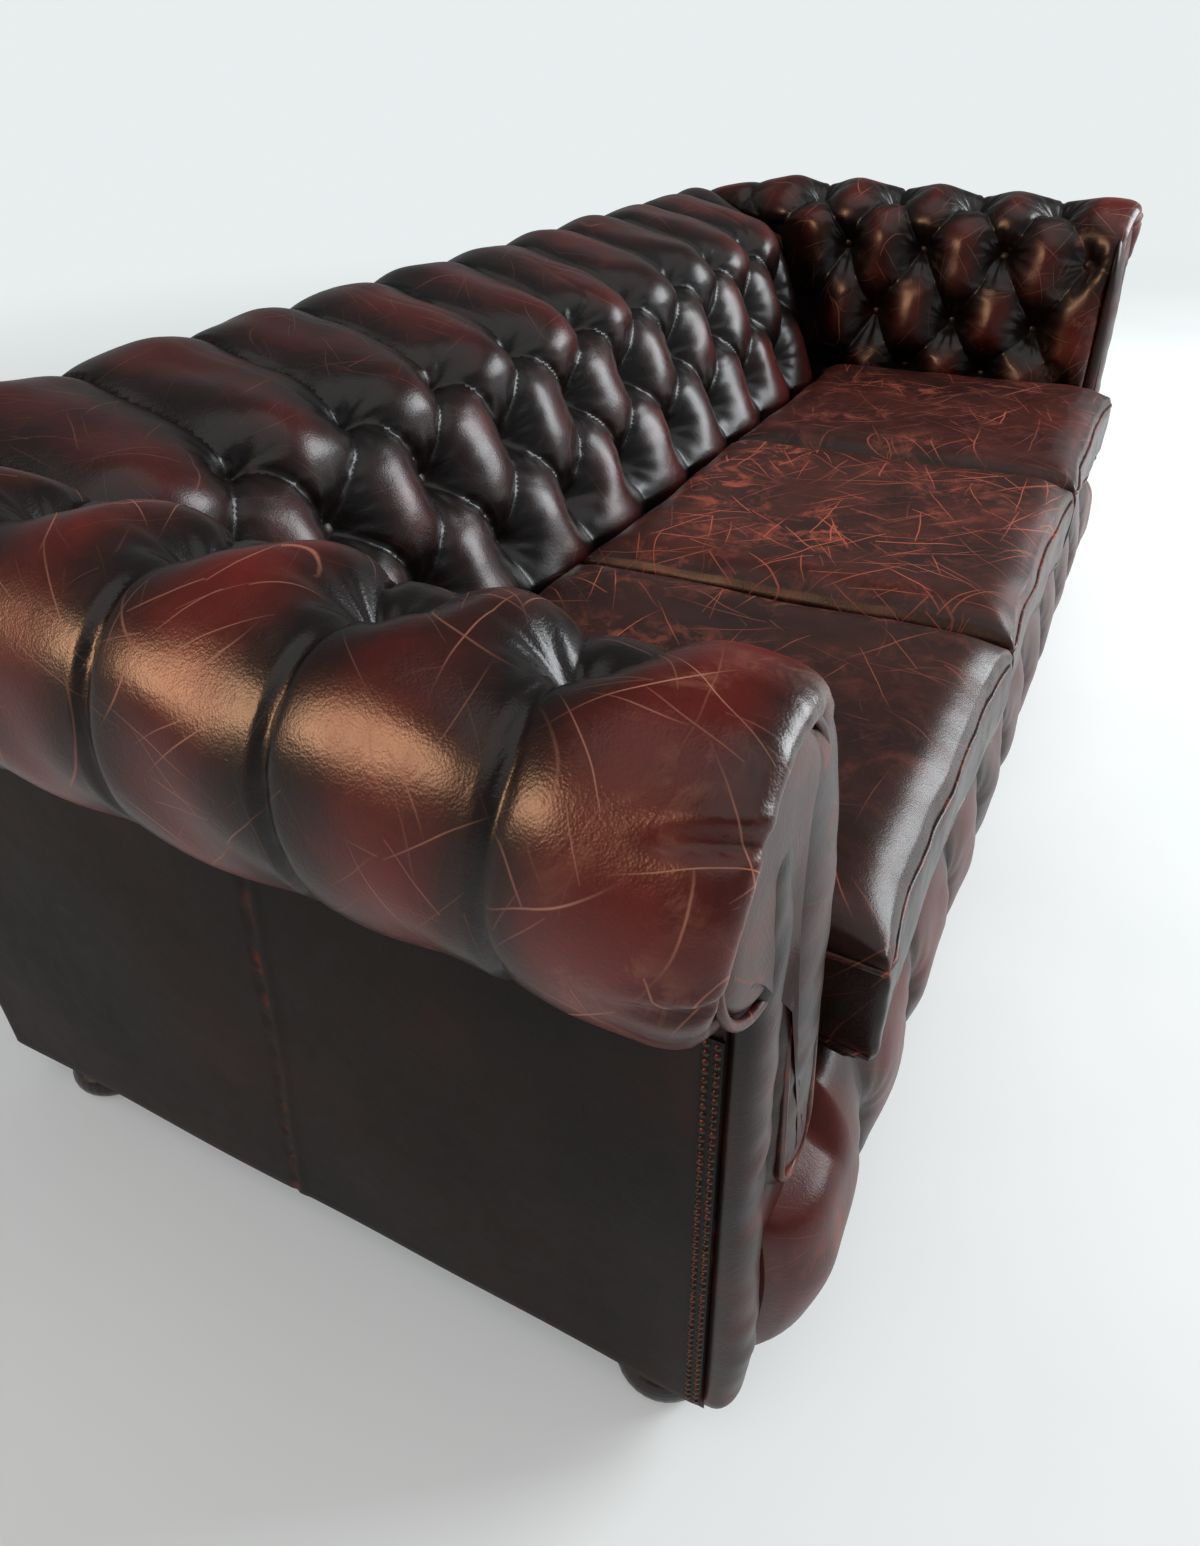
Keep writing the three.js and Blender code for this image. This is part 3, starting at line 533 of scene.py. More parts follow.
def arm_shape(side, seed):
    sign = -1 if side == "left" else 1

    def shape(along, down):
        t = np.interp(down, STATIONS, arm_profile.keys)
        x, z, nx, nz = arm_profile.at(t)
        t_back = np.interp(down, STATIONS, back_profile.keys)
        y_end, z_end, ny_end, _ = back_profile.at(t_back)
        turn = np.clip(along / END_PART, 0, 1) * math.radians(150) - math.radians(60)
        level = z + ARM_RISE * ARM_FRONT
        below, above = (0.66 - level) / 0.14, (level - 0.66) / 0.05
        front = ARM_FRONT + np.where(level < 0.66, 0.025 * below ** 2, 0.006 * above ** 2)
        front = np.minimum(front + 0.012 * np.clip((0.87 - x) / 0.07, 0, 1), -0.402)
        straight = front + END_DEEP
        y = np.where(along < END_PART, front + END_DEEP * (1 - np.cos(turn)),
                     straight + (y_end - straight) * (along - END_PART) / (1 - END_PART))
        y = y + 0.014 * (along < 0.5 / ARM_ACROSS)
        from_front = np.where(along < END_PART, np.clip(turn, 0, 2) * 0.020, y - straight + 0.0314)
        to_mitre = y_end - y
        z_arm = z + ARM_RISE * y
        near_back = np.clip(1 - to_mitre / 0.22, 0, 1)
        near_back = near_back * near_back * (3 - 2 * near_back)
        z_level = z_arm + (z_end - z_arm) * near_back
        height, crown = tufting(y, t, ARM_BUTTONS[side], ARM_ROWS, True, seed, ROLL_PLEAT, crease=0.014,
                                funnel=0.024, pit=0.010, second_fold=0.0)
        cleft = quarter_round(to_mitre, 0.085)
        cleft_depth = np.interp(t, *MITRE_DEPTH)
        height = height * (1 - cleft) - cleft_depth * cleft
        # the front end turns in to the facing and is drawn up in gathers
        loose = 1.5 * ripple(t, y * 0, seed + 7, 0.11)
        gathers = np.cos(t / 0.021 * 2 * math.pi + loose) * np.exp(-(from_front / 0.040) ** 2)
        deep = np.clip(ripple(t, t * 0, seed + 9, 0.10) - 0.35, 0, 1) * np.exp(-((from_front - 0.03) / 0.035) ** 2)
        height = height * np.clip(from_front / 0.09, 0, 1) + 0.00012 * gathers - 0.003 * deep
        # three folds drawn in towards the facing
        for fold_t, depth in ((0.205, 0.006), (0.118, 0.005), (0.060, 0.0035)):
            line = t - fold_t + 0.35 * (from_front - 0.03)
            height = height - depth * np.exp(-(line / 0.0055) ** 2) * np.exp(-((from_front - 0.022) / 0.020) ** 2)
            ridge = np.exp(-((line - 0.010) / 0.007) ** 2) * np.exp(-((from_front - 0.022) / 0.022) ** 2)
            height = height + 0.4 * depth * ridge
        inset = height - END_IN * (1 - np.sin(turn))
        join_x = -cleft_depth * cleft ** 3
        place = np.column_stack([
            sign * (x + nx * inset),
            y + ny_end * join_x - np.cos(turn) * height,
            z_level + nz * inset,
        ])
        # painted shade: the crown mask drops in the mitre cleft and at the turned-in front end, darkening them
        crown = crown * (1 - 0.8 * cleft) * (1 - 0.35 * np.exp(-((from_front - 0.01) / 0.02) ** 2))
        wear = 0.75 * np.exp(-((from_front - 0.045) / 0.035) ** 2) * (0.35 + 0.65 * ripple(t, y, seed + 8, 0.06))
        return place, crown, wear

    return shape


def arm_behind(side):
    """The back of the arm's padding, against its posts and rails."""
    sign = -1 if side == "left" else 1

    def points(along):
        y_end = np.interp(along, [0, 1], [END_BACK, 0.10])
        return [np.column_stack([np.full_like(along, sign * x), np.minimum(y_end, END_BACK + (limit - END_BACK) * along),
                                 z + ARM_RISE * y_end])
                for x, z, limit in ((0.835, 0.330, 0.20), (0.850, 0.560, 0.26), (0.895, 0.560, 0.36))]

    return points


ARM_DOWN = int(arm_profile.keys[-1] / CELL)
arms = {}
for side, seed in (("left", 11), ("right", 37)):
    arms[side] = hide_grid(f"arm_tufted_leather_{side}", ARM_ACROSS, ARM_DOWN, arm_shape(side, seed), arm_leather,
                           behind=arm_behind(side))
    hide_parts(f"arm_cover_{side}", f"arm_foam_{side}")


# ---------------------------------------------------------------------------
# Tufted leather over the back: the same hide, less rubbed and nearly black in
# its folds with painted shade, mitred into the arms at deep corner clefts.
# ---------------------------------------------------------------------------
# the same full-grain hide with its dark antique finish still on: nearly black painted shade in its folds, and a cool
# narrow shine
back_leather = worn_leather("back_dark_oxblood_hide", "#0e0807", "#240f0d", "#4e1b18", "#9a6254", 0.35, 0.02, 0.3,
                            gloss=0.30, specular=0.40)

crest_start = back_profile.keys[3] - math.radians(back_touch - 128) * CREST_R
BACK_ROWS = [crest_start, crest_start + 0.1016, crest_start + 0.2066]
BACK_BUTTONS = 0.156 * np.arange(-4, 5) + 0.002
BACK_PLEAT = (PLEAT_UP, [0.020, 0.019, 0.018, 0.016, 0.011, 0.005])


def back_shape(along, down):
    t = np.interp(down, STATIONS, back_profile.keys)
    y, z, ny, nz = back_profile.at(t)
    t_arm = np.interp(down, STATIONS, arm_profile.keys)
    x_end, _, nx_end, _ = arm_profile.at(t_arm)
    x = x_end * (2 * along - 1)
    to_mitre = x_end - np.abs(x)
    height, crown = tufting(x, t, BACK_BUTTONS, BACK_ROWS, False, 71, BACK_PLEAT, narrowing=0.5, crease=0.019,
                            lift=0.001, funnel=0.018, pit=0.011)
    cleft = quarter_round(to_mitre, 0.085)
    cleft_depth = np.interp(t_arm, *MITRE_DEPTH)
    height = height * (1 - cleft) - cleft_depth * cleft
    join = -cleft_depth * cleft ** 3
    place = np.column_stack([x + np.sign(x) * nx_end * join, y + ny * height, z + nz * height])
    # painted shade: the crown mask drops in the corner clefts, darkening them
    return place, crown * (1 - 0.8 * cleft), np.zeros_like(crown)


def back_behind(along):
    """The back of the padding, against the uprights and the top rail."""
    return [np.column_stack([reach * (2 * along - 1), np.full_like(along, y), np.full_like(along, z)])
            for y, z, reach in ((0.235, 0.330, 0.80), (0.330, 0.560, 0.84), (0.375, 0.550, 0.88))]


back = hide_grid("back_tufted_leather", int(1.72 / 0.0043), int(back_profile.keys[-1] / 0.0043), back_shape, back_leather,
                 behind=back_behind)
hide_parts("back_cover", "back_foam")


# ---------------------------------------------------------------------------
# Covered buttons: domed metal shells under a scrap of the same hide, drawn down
# by twine, and coloured near black as painted shade for their pits. One set sits in each arm, one in the back and one
# in the apron.
# ---------------------------------------------------------------------------
# thin skived hide, stretched tight: smooth and a little duller than the cover, and coloured darker than the cover,
# near black, as painted shade for the pits the buttons sit in
button_leather_painted_dark = worn_leather("button_hide_painted_pit_shade", "#0d0605", "#1a0b09", "#2c100d", "#6a3a2e", 0.1, 0.02, 0.2, gloss=0.40)
BUTTON_R, BUTTON_SUNK = 0.0100, 0.002


def button_set(name, places):
    """places are (position, outward direction) pairs."""
    bm = bmesh.new()
    for position, outward in places:
        made = bmesh.ops.create_uvsphere(bm, u_segments=16, v_segments=8, radius=BUTTON_R)["verts"]
        bmesh.ops.scale(bm, vec=(1, 1, 0.55), verts=made)
        turn = Vector((0, 0, 1)).rotation_difference(Vector(outward)).to_matrix().to_4x4()
        bmesh.ops.transform(bm, matrix=Matrix.Translation(position) @ turn, verts=made)
    mesh = bpy.data.meshes.new(name)
    bm.to_mesh(mesh)
    bm.free()
    store_masks(mesh, 0.5, 0.0)
    piece = finish_piece(name, mesh, button_leather_painted_dark)
    return piece


def sunk_places(piece, guesses):
    """Finds the tufted surface under each guessed button place."""
    tree = BVHTree.FromPolygons([v.co[:] for v in piece.data.vertices], [p.vertices[:] for p in piece.data.polygons])
    found = []
    for origin, outward in guesses:
        outward = Vector(outward).normalized()
        hit = tree.ray_cast(Vector(origin) + outward * 0.09, -outward)[0]
        if hit is not None:
            found.append((hit - outward * BUTTON_SUNK, outward))
    return found


for side, sign in (("left", -1), ("right", 1)):
    guesses = []
    for k, row_t in enumerate(ARM_ROWS):
        first = ARM_BUTTONS[side]
        ys = first - (k % 2) * (first[1] - first[0]) / 2
        mitre = back_profile.at(np.interp(row_t, arm_profile.keys, back_profile.keys))[0]
        ys = ys[ys < mitre - 0.03]
        x, z, nx, nz = (float(v) for v in arm_profile.at(row_t))
        for y in ys:
            guesses.append(((sign * x, y, z + ARM_RISE * y), (sign * nx, 0, nz)))
    button_set(f"arm_buttons_{side}", sunk_places(arms[side], guesses))
guesses = []
for k, row_t in enumerate(BACK_ROWS):
    xs = BACK_BUTTONS if k != 1 else np.append(BACK_BUTTONS - 0.078, BACK_BUTTONS[-1] + 0.078)
    y, z, ny, nz = (float(v) for v in back_profile.at(row_t))
    guesses += [((x, y, z), (0, ny, nz)) for x in xs]
button_set("back_buttons", sunk_places(back, guesses))


# ---------------------------------------------------------------------------
# Apron: padded hide over the front rail, buttoned in one row, its lower edge
# tacked under the rail.
# ---------------------------------------------------------------------------
APRON_X, APRON_FRONT, APRON_DEEP = 0.8675, -0.4035, 0.062
APRON_Z, APRON_HALF = 0.171, 0.121
APRON_BUTTONS = 0.156 * (np.arange(10) - 4.5)
# firmer hide for trim: wine brown, with orange-brown rubbing where feet and hands touch its edges
trim_leather = worn_leather("trim_dark_hide", "#140a09", "#2a100e", "#511c16", "#b0563c", 0.22, 0.04, 0.9,
                            gloss=0.34, specular=0.26)


def apron_shape(along, down):
    x = APRON_X * (2 * along - 1)
    angle = math.pi * (0.5 + down)
    ny, nz = np.cos(angle), np.sin(angle)
    t = down * 0.30
    column = (x - APRON_BUTTONS[0]) / 0.156
    cell = swell(column % 1)
    past = np.clip(np.maximum(-column, column - 9), 0, 9)
    cell = np.where((column < 0) | (column > 9), 1 - np.exp(-(past / 0.2) ** 1.3), cell)
    middle = np.exp(-((down - 0.5) / 0.30) ** 2)
    distance = np.hypot((column - np.clip(np.round(column), 0, 9)) * 0.156, (down - 0.46) * 0.30)
    around = np.arctan2((down - 0.46) * 0.3, (column - np.round(column)) * 0.156)
    height = 0.002 - (0.004 + 0.012 * middle) * (1 - np.clip(cell, 0, 1)) - 0.012 * np.exp(-(distance / 0.022) ** 1.6)
    height = height + 0.0022 * ripple(x, t, 91, 0.10) + 0.0010 * np.exp(-(distance / 0.05) ** 2) * np.cos(10 * around)
    # the top is held down under the arm facings
    under = np.clip((np.abs(x) - 0.764) / 0.020, 0, 1)
    top = APRON_Z + APRON_HALF * (1 - 0.27 * under * np.clip(nz, 0, 1))
    end = quarter_round(APRON_X - np.abs(x), 0.055)
    deep = (APRON_DEEP + height) * (1 - 0.62 * end)
    place = np.column_stack([x, APRON_FRONT + ny * deep, APRON_Z + nz * (top - APRON_Z + height - 0.012 * end)])
    wear = 0.5 * np.exp(-((np.abs(x) - 0.80) / 0.05) ** 2) * np.exp(-((down - 0.45) / 0.12) ** 2)
    # the crown mask follows the padding between buttons, so its creases take the fold colour as painted shade
    return place, np.clip(cell, 0, 1), wear


def apron_behind(along):
    """The face of the front rail behind the apron's padding."""
    return [np.column_stack([APRON_X * (2 * along - 1), np.full_like(along, APRON_FRONT + 0.001),
                             np.full_like(along, 0.17)])]


apron = hide_grid("apron_padded_leather", 320, 52, apron_shape, trim_leather, behind=apron_behind)
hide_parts("apron_cover", "apron_foam")
guesses = [((x, APRON_FRONT - APRON_DEEP, APRON_Z + 0.014), (0, -1, 0)) for x in APRON_BUTTONS]
button_set("apron_buttons", sunk_places(apron, guesses))


# ---------------------------------------------------------------------------
# Outside panels: flat hide stretched over the arm sides and the back, joined by
# a rubbed upright seam, and tacked under the rails.
# ---------------------------------------------------------------------------
# split hide with a thick dark finish: brown-black and nearly matt, rubbed to orange-brown along its seam
panel_leather = worn_leather("outside_panel_hide", "#100907", "#1a0e0a", "#38160e", "#a8482f", 0.03, 0.02, 1.0,
                             gloss=0.56, specular=0.15)
PANEL_X, PANEL_TALL = 0.9135, 0.478


def panel_shape(origin, side_step, up_step, outward, seam, seed):
    """A flat panel from one corner along two edges. Its seam runs from seam[0] at the foot to seam[1] at the top."""
    origin, side_step, up_step, outward = (np.array(v) for v in (origin, side_step, up_step, outward))
    wide, tall = np.linalg.norm(side_step), np.linalg.norm(up_step)

    def shape(along, up):
        edge = np.minimum(np.minimum(along, 1 - along) * wide, np.minimum(up, 1 - up) * tall)
        line = (along - (seam[0] + (seam[1] - seam[0]) * up)) * wide
        height = 0.0025 - 0.0045 * quarter_round(edge, 0.012) + 0.0012 * ripple(along * wide, up * tall, seed, 0.25)
        height = height - 0.0022 * np.exp(-(line / 0.0022) ** 2) + 0.0014 * np.exp(-((line - 0.006) / 0.004) ** 2)
        place = origin + along[:, None] * side_step + up[:, None] * up_step + height[:, None] * outward
        broken = 0.55 + 0.45 * ripple(up * tall, line * 0, seed + 3, 0.05)
        edge_wear = np.exp(-(edge / 0.006) ** 2) * (0.4 + 0.6 * ripple(along * 3, up * 3, seed + 1, 0.3))
        wear = 0.95 * np.exp(-(line / 0.0032) ** 2) * broken + 0.5 * edge_wear
        return place, 0.45 + 0.35 * ripple(along * wide, up * tall, seed + 2, 0.3), wear

    return shape


for side, sign in (("left", -1), ("right", 1)):
    low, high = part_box(f"outside_arm_panel_{side}")
    outer = sign * PANEL_X
    wide = high[1] - low[1]
    corner = (outer, high[1], low[2]) if sign < 0 else (outer, low[1], low[2])
    step = (0, -wide, 0) if sign < 0 else (0, wide, 0)
    seam = (0.494, 0.577) if sign < 0 else (0.506, 0.423)
    panel = hide_grid(f"outside_arm_leather_{side}", 150, 56,
                      panel_shape(corner, step, (0, 0, PANEL_TALL), (sign, 0, 0), seam, 23 + sign), panel_leather, 0.003)
    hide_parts(f"outside_arm_panel_{side}")
low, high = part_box("outside_back_panel")
panel = hide_grid("outside_back_leather", 240, 42,
                  panel_shape((high[0], high[1] - 0.0015, low[2]), (low[0] - high[0], 0, 0), (0, 0, high[2] - low[2]),
                              (0, 1, 0), (0.5, 0.5), 47), panel_leather, 0.003)
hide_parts("outside_back_panel")


# ---------------------------------------------------------------------------
# Scroll facings: a padded keyhole of hide on a board closes each roll, edged
# with a welt of the same hide.
# ---------------------------------------------------------------------------
FACING_R, STEM_IN, STEM_OUT, STEM_FOOT = 0.076, 0.800, 0.856, 0.300
FACING_REAR = -0.3975
LEAN_FROM = 0.632                # the height at which the facings stand at their rear place


def keyhole_outline(inset):
    radius, stem_in, stem_out = FACING_R - inset, STEM_IN + inset, STEM_OUT - inset
    half = (stem_out - stem_in) / 2
    under = -math.degrees(math.acos((stem_out - ROLL_X) / radius))
    bottom = arc_points(stem_in + half, STEM_FOOT + inset + half, half, 180, 360)[::4]
    roll = arc_points(ROLL_X, ROLL_Z, radius, under, 176)[::5]
    points = np.vstack([bottom, roll, [(stem_in, ROLL_Z - 0.06)]])
    return points


def foot_outline():
    """The padded leather that frames the lower end of the facing."""
    half = 0.052
    bottom = arc_points(0.826, 0.228 + half, half, 180, 360)[::4]
    return np.vstack([bottom, [(0.878, 0.34), (0.774, 0.34)]])


def padded_keyhole(name, sign, outline, rear):
    bm = bmesh.new()
    ring = []
    for x, z in outline:
        level = z + ARM_RISE * rear
        ring.append(bm.verts.new((sign * x, rear - FRONT_LEAN * (LEAN_FROM - level), level)))
    face = bm.faces.new(ring)
    bmesh.ops.recalc_face_normals(bm, faces=[face])
    if face.normal.y > 0:
        face.normal_flip()
    for thickness, depth in ((0.0, 0.006), (0.0015, 0.005), (0.005, 0.004), (0.009, 0.0025), (0.010, 0.001)):
        if thickness == 0.0:
            out = bmesh.ops.extrude_discrete_faces(bm, faces=[face])["faces"][0]
            bmesh.ops.translate(bm, vec=(0, -depth, 0), verts=out.verts)
            face = out
        else:
            bmesh.ops.inset_region(bm, faces=[face], thickness=thickness, depth=depth, use_even_offset=True)
    mesh = bpy.data.meshes.new(name)
    rim = [e for e in bm.edges if e.is_boundary]
    bmesh.ops.holes_fill(bm, edges=rim, sides=0)
    bmesh.ops.recalc_face_normals(bm, faces=bm.faces)
    bm.to_mesh(mesh)
    bm.free()
    store_masks(mesh, 0.7, 0.08)
    piece = finish_piece(name, mesh, trim_leather, levels=1)
    return piece


def tube_along(name, points, radius, material, closed=False, crown=0.8, wear=0.4):
    """A welt or cord of leather along a line of points."""
    curve = bpy.data.curves.new(name, "CURVE")
    curve.dimensions = "3D"
    curve.bevel_depth = radius
    curve.bevel_resolution = 2
    curve.use_fill_caps = True
    spline = curve.splines.new("POLY")
    spline.points.add(len(points) - 1)
    for point, place in zip(spline.points, points):
        point.co = (*place, 1)
    spline.use_cyclic_u = closed
    holder = bpy.data.objects.new(name, curve)
    bpy.context.scene.collection.objects.link(holder)
    mesh = bpy.data.meshes.new_from_object(holder)
    bpy.data.objects.remove(holder)
    mesh.name = name
    store_masks(mesh, crown, wear)
    piece = finish_piece(name, mesh, material)
    return piece


# the plywood board behind each facing is covered with the same hide first
give_material(["facing_board_left", "facing_board_right"], trim_leather)
for side, sign in (("left", -1), ("right", 1)):
    padded_keyhole(f"scroll_front_pad_{side}", sign, foot_outline(), -0.3880)
    facing = padded_keyhole(f"scroll_facing_{side}", sign, keyhole_outline(0.0), FACING_REAR)
    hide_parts(f"arm_facing_{side}")
    edge = keyhole_outline(-0.002)
    levels = [(x, z + ARM_RISE * FACING_REAR) for x, z in edge]
    welt = [(sign * x, FACING_REAR - 0.0135 - FRONT_LEAN * (LEAN_FROM - level), level) for x, level in levels]
    tube_along(f"facing_welt_{side}", welt, 0.0032, trim_leather, True)


# ---------------------------------------------------------------------------
# Front strips: a padded roll of hide down the outer front edge of each arm and a
# shorter one over the facing's stem, with a tape of small close studs beside them.
# ---------------------------------------------------------------------------
STRIP_BACK = -0.4035
BORDER = {"inner": 0.868, "outer": 0.9145, "low": 0.040, "high": 0.620, "corner": 0.022,
          "front": ([0.04, 0.13, 0.32, 0.47, 0.54, 0.60, 0.62],
                    [-0.424, -0.432, -0.4245, -0.4225, -0.4225, -0.4195, -0.4180])}
STEM = {"inner": 0.786, "outer": 0.870, "low": 0.250, "high": 0.650, "corner": 0.060,
        "front": ([0.25, 0.33, 0.46, 0.54, 0.60, 0.67], [-0.428, -0.430, -0.428, -0.426, -0.419, -0.414])}
STUD_PITCH = 0.0078


def antique_steel():
    """Antique-finished steel studs: brown-black, polished on top by cleaning, cloudy in patches 4 mm across."""
    material, tree, shader = new_material("stud_antique_steel")
    place = add(tree, "ShaderNodeTexCoord").outputs["Object"]
    cloud = add(tree, "ShaderNodeTexNoise", {"Vector": place, "Scale": 260.0, "Detail": 3.0}).outputs["Fac"]
    colour = ramp(tree, cloud, (0.35, "#1d0f0b"), (0.7, "#5a3322"))
    roughness = calc(tree, "ADD", calc(tree, "MULTIPLY", cloud, 0.25), 0.25)
    shade(tree, shader, Base_Color=colour, Metallic=0.7, Roughness=roughness)
    return material


stud_metal = antique_steel()


def strip_shape(sign, strip, seed):
    """An upright padded strip with rounded ends, its crown standing forward by a depth that changes with height."""
    def shape(along, down):
        angle = math.pi * along
        z = strip["high"] + (strip["low"] - strip["high"]) * down
        end = np.clip(np.minimum(z - strip["low"], strip["high"] - z) / strip["corner"], 0, 1)
        rounded = np.sqrt(np.clip(1 - (1 - end) ** 2, 0, 1))
        middle = (strip["inner"] + strip["outer"]) / 2
        half = (strip["outer"] - strip["inner"]) / 2 * (0.25 + 0.75 * rounded)
        crown = np.interp(z, *strip["front"]) + 0.0006 * ripple(z, along * 0.05, seed, 0.06)
        x = middle - half * np.cos(angle)
        deep = (STRIP_BACK - crown) * (0.15 + 0.85 * rounded) * np.sin(angle) ** 0.72
        # drag wrinkles that run slanting across
        slant = np.sin((z + 0.5 * (x - middle)) * 2 * math.pi / 0.047 + 3 * ripple(z, x, seed + 4, 0.2))
        deep = deep + 0.0006 * slant * np.sin(angle) * np.clip(ripple(z, x * 0, seed + 5, 0.16), 0, 1)
        crest_wear = np.exp(-((along - 0.5) / 0.2) ** 2) * np.clip(ripple(z, along * 0, seed + 2, 0.05), 0, 1)
        wear = 0.8 * np.exp(-(z / 0.03 - 1.5) ** 2) + 0.35 * crest_wear
        place = np.column_stack([sign * x, STRIP_BACK - deep, z])
        return place, 0.42 + 0.2 * ripple(z, along * 0.1, seed + 1, 0.1), np.clip(wear, 0, 1)

    return shape


for side, sign in (("left", -1), ("right", 1)):
    stem = hide_grid(f"scroll_stem_{side}", 20, 110, strip_shape(sign, STEM, 81), trim_leather, 0.002)
    border = hide_grid(f"front_border_leather_{side}", 16, 130, strip_shape(sign, BORDER, 61), trim_leather, 0.002)
    if sign > 0:
        border.data.flip_normals()
        stem.data.flip_normals()
    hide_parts(f"front_border_{side}")

    low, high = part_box(f"stud_strip_{side}")
    bm = bmesh.new()
    count = int((high[2] - low[2]) / STUD_PITCH)
    for k in range(count):
        for offset in (-0.0034, 0.0034):
            made = bmesh.ops.create_uvsphere(bm, u_segments=8, v_segments=5, radius=0.0029)["verts"]
            centre = (sign * 0.9165, (low[1] + high[1]) / 2 + offset, low[2] + (k + 0.5) * STUD_PITCH)
            bmesh.ops.translate(bm, vec=centre, verts=made)
    mesh = bpy.data.meshes.new(f"close_studs_{side}")
    bm.to_mesh(mesh)
    bm.free()
    studs = finish_piece(f"close_studs_{side}", mesh, stud_metal)
give_material(["stud_strip_left", "stud_strip_right"], panel_leather)


# ---------------------------------------------------------------------------
# Loose seat cushions: foam cores in boxed hide cases with a welt round the top
# and bottom panels. The tops are rubbed and cracked, most of all in the middle.
# ---------------------------------------------------------------------------
# softer hide worn through its finish: wine brown, with crossing dry scratches, and barest on the centre seat
seat_leathers = {
    "left": worn_leather("seat_left_worn_hide", "#170e0b", "#291713", "#42211b", "#b05c47", 0.55, 0.02, 1.5,
                         gloss=0.32, specular=0.30, spacing=1.45, width=1.4, patchy=0.42),
    "centre": worn_leather("seat_centre_worn_hide", "#1b100d", "#321a16", "#53261e", "#b95a45", 0.75, 0.05, 2.0,
                           gloss=0.36, specular=0.32, spacing=1.20, width=1.45, patchy=0.32),
    "right": worn_leather("seat_right_worn_hide", "#180e0c", "#2d1714", "#4e221c", "#a85340", 0.60, 0.04, 1.8,
                          gloss=0.34, specular=0.34, spacing=1.25, width=1.4, patchy=0.38),
}
CUSHION_PITCH = 0.503
CUSHION_FRONT, CUSHION_REAR = -0.4595, 0.0625
CUSHION_LOW, CUSHION_HIGH = 0.297, 0.432
SWELL_MOST = 0.022                # the farthest that the stuffing may move the case
TOP_SEAM, BOTTOM_SEAM = 0.038, -0.052


def stuffed_block(width, depth, thickness):
    """A boxed cushion, swollen by its filling and centred on the origin."""
    bm = bmesh.new()
    bmesh.ops.create_cube(bm, size=1.0)
    bmesh.ops.scale(bm, vec=(width, depth, thickness), verts=bm.verts)
    bmesh.ops.bevel(bm, geom=bm.edges[:] + bm.verts[:], offset=0.014, segments=3, profile=0.5, affect="EDGES", material=-1)
    mesh = bpy.data.meshes.new("stuffed_block")
    bm.to_mesh(mesh)
    bm.free()
    block = bpy.data.objects.new("stuffed_block", mesh)
    bpy.context.scene.collection.objects.link(block)
    voxels = block.modifiers.new("voxels", "REMESH")
    voxels.mode = "VOXEL"
    voxels.voxel_size = 0.0065
    depsgraph = bpy.context.evaluated_depsgraph_get()
    dense = bpy.data.meshes.new_from_object(block.evaluated_get(depsgraph))
    block.modifiers.clear()
    block.data = dense
    start = np.empty(len(dense.vertices) * 3)
    dense.vertices.foreach_get("co", start)
    cloth = block.modifiers.new("stuffing", "CLOTH")
    cloth.settings.quality = 4
    cloth.settings.mass = 0.4
    cloth.settings.tension_stiffness = 12
    cloth.settings.compression_stiffness = 12
    cloth.settings.bending_stiffness = 1.5
    cloth.settings.use_pressure = True
    cloth.settings.uniform_pressure_force = 4.0
    cloth.settings.effector_weights.gravity = 0
    cloth.collision_settings.use_collision = False
    scene = bpy.context.scene
    for number in range(1, 21):
        scene.frame_set(number)
    swollen = bpy.data.meshes.new_from_object(block.evaluated_get(bpy.context.evaluated_depsgraph_get()))
    scene.frame_set(1)
    end = np.empty(len(swollen.vertices) * 3)
    swollen.vertices.foreach_get("co", end)
    moved = (end - start).reshape(-1, 3)
    length = np.linalg.norm(moved, axis=1)
    moved *= (np.minimum(length, SWELL_MOST) / np.maximum(length, 1e-9))[:, None]
    # the stuffing evens out the smallest buckles
    pairs = np.array([e.vertices[:] for e in dense.edges])
    number = np.bincount(pairs.ravel(), minlength=len(moved))[:, None]
    for _ in range(60):
        total = np.zeros_like(moved)
        np.add.at(total, pairs[:, 0], moved[pairs[:, 1]])
        np.add.at(total, pairs[:, 1], moved[pairs[:, 0]])
        moved = 0.4 * moved + 0.6 * total / number
    bpy.data.objects.remove(block)
    return start.reshape(-1, 3) + moved, dense


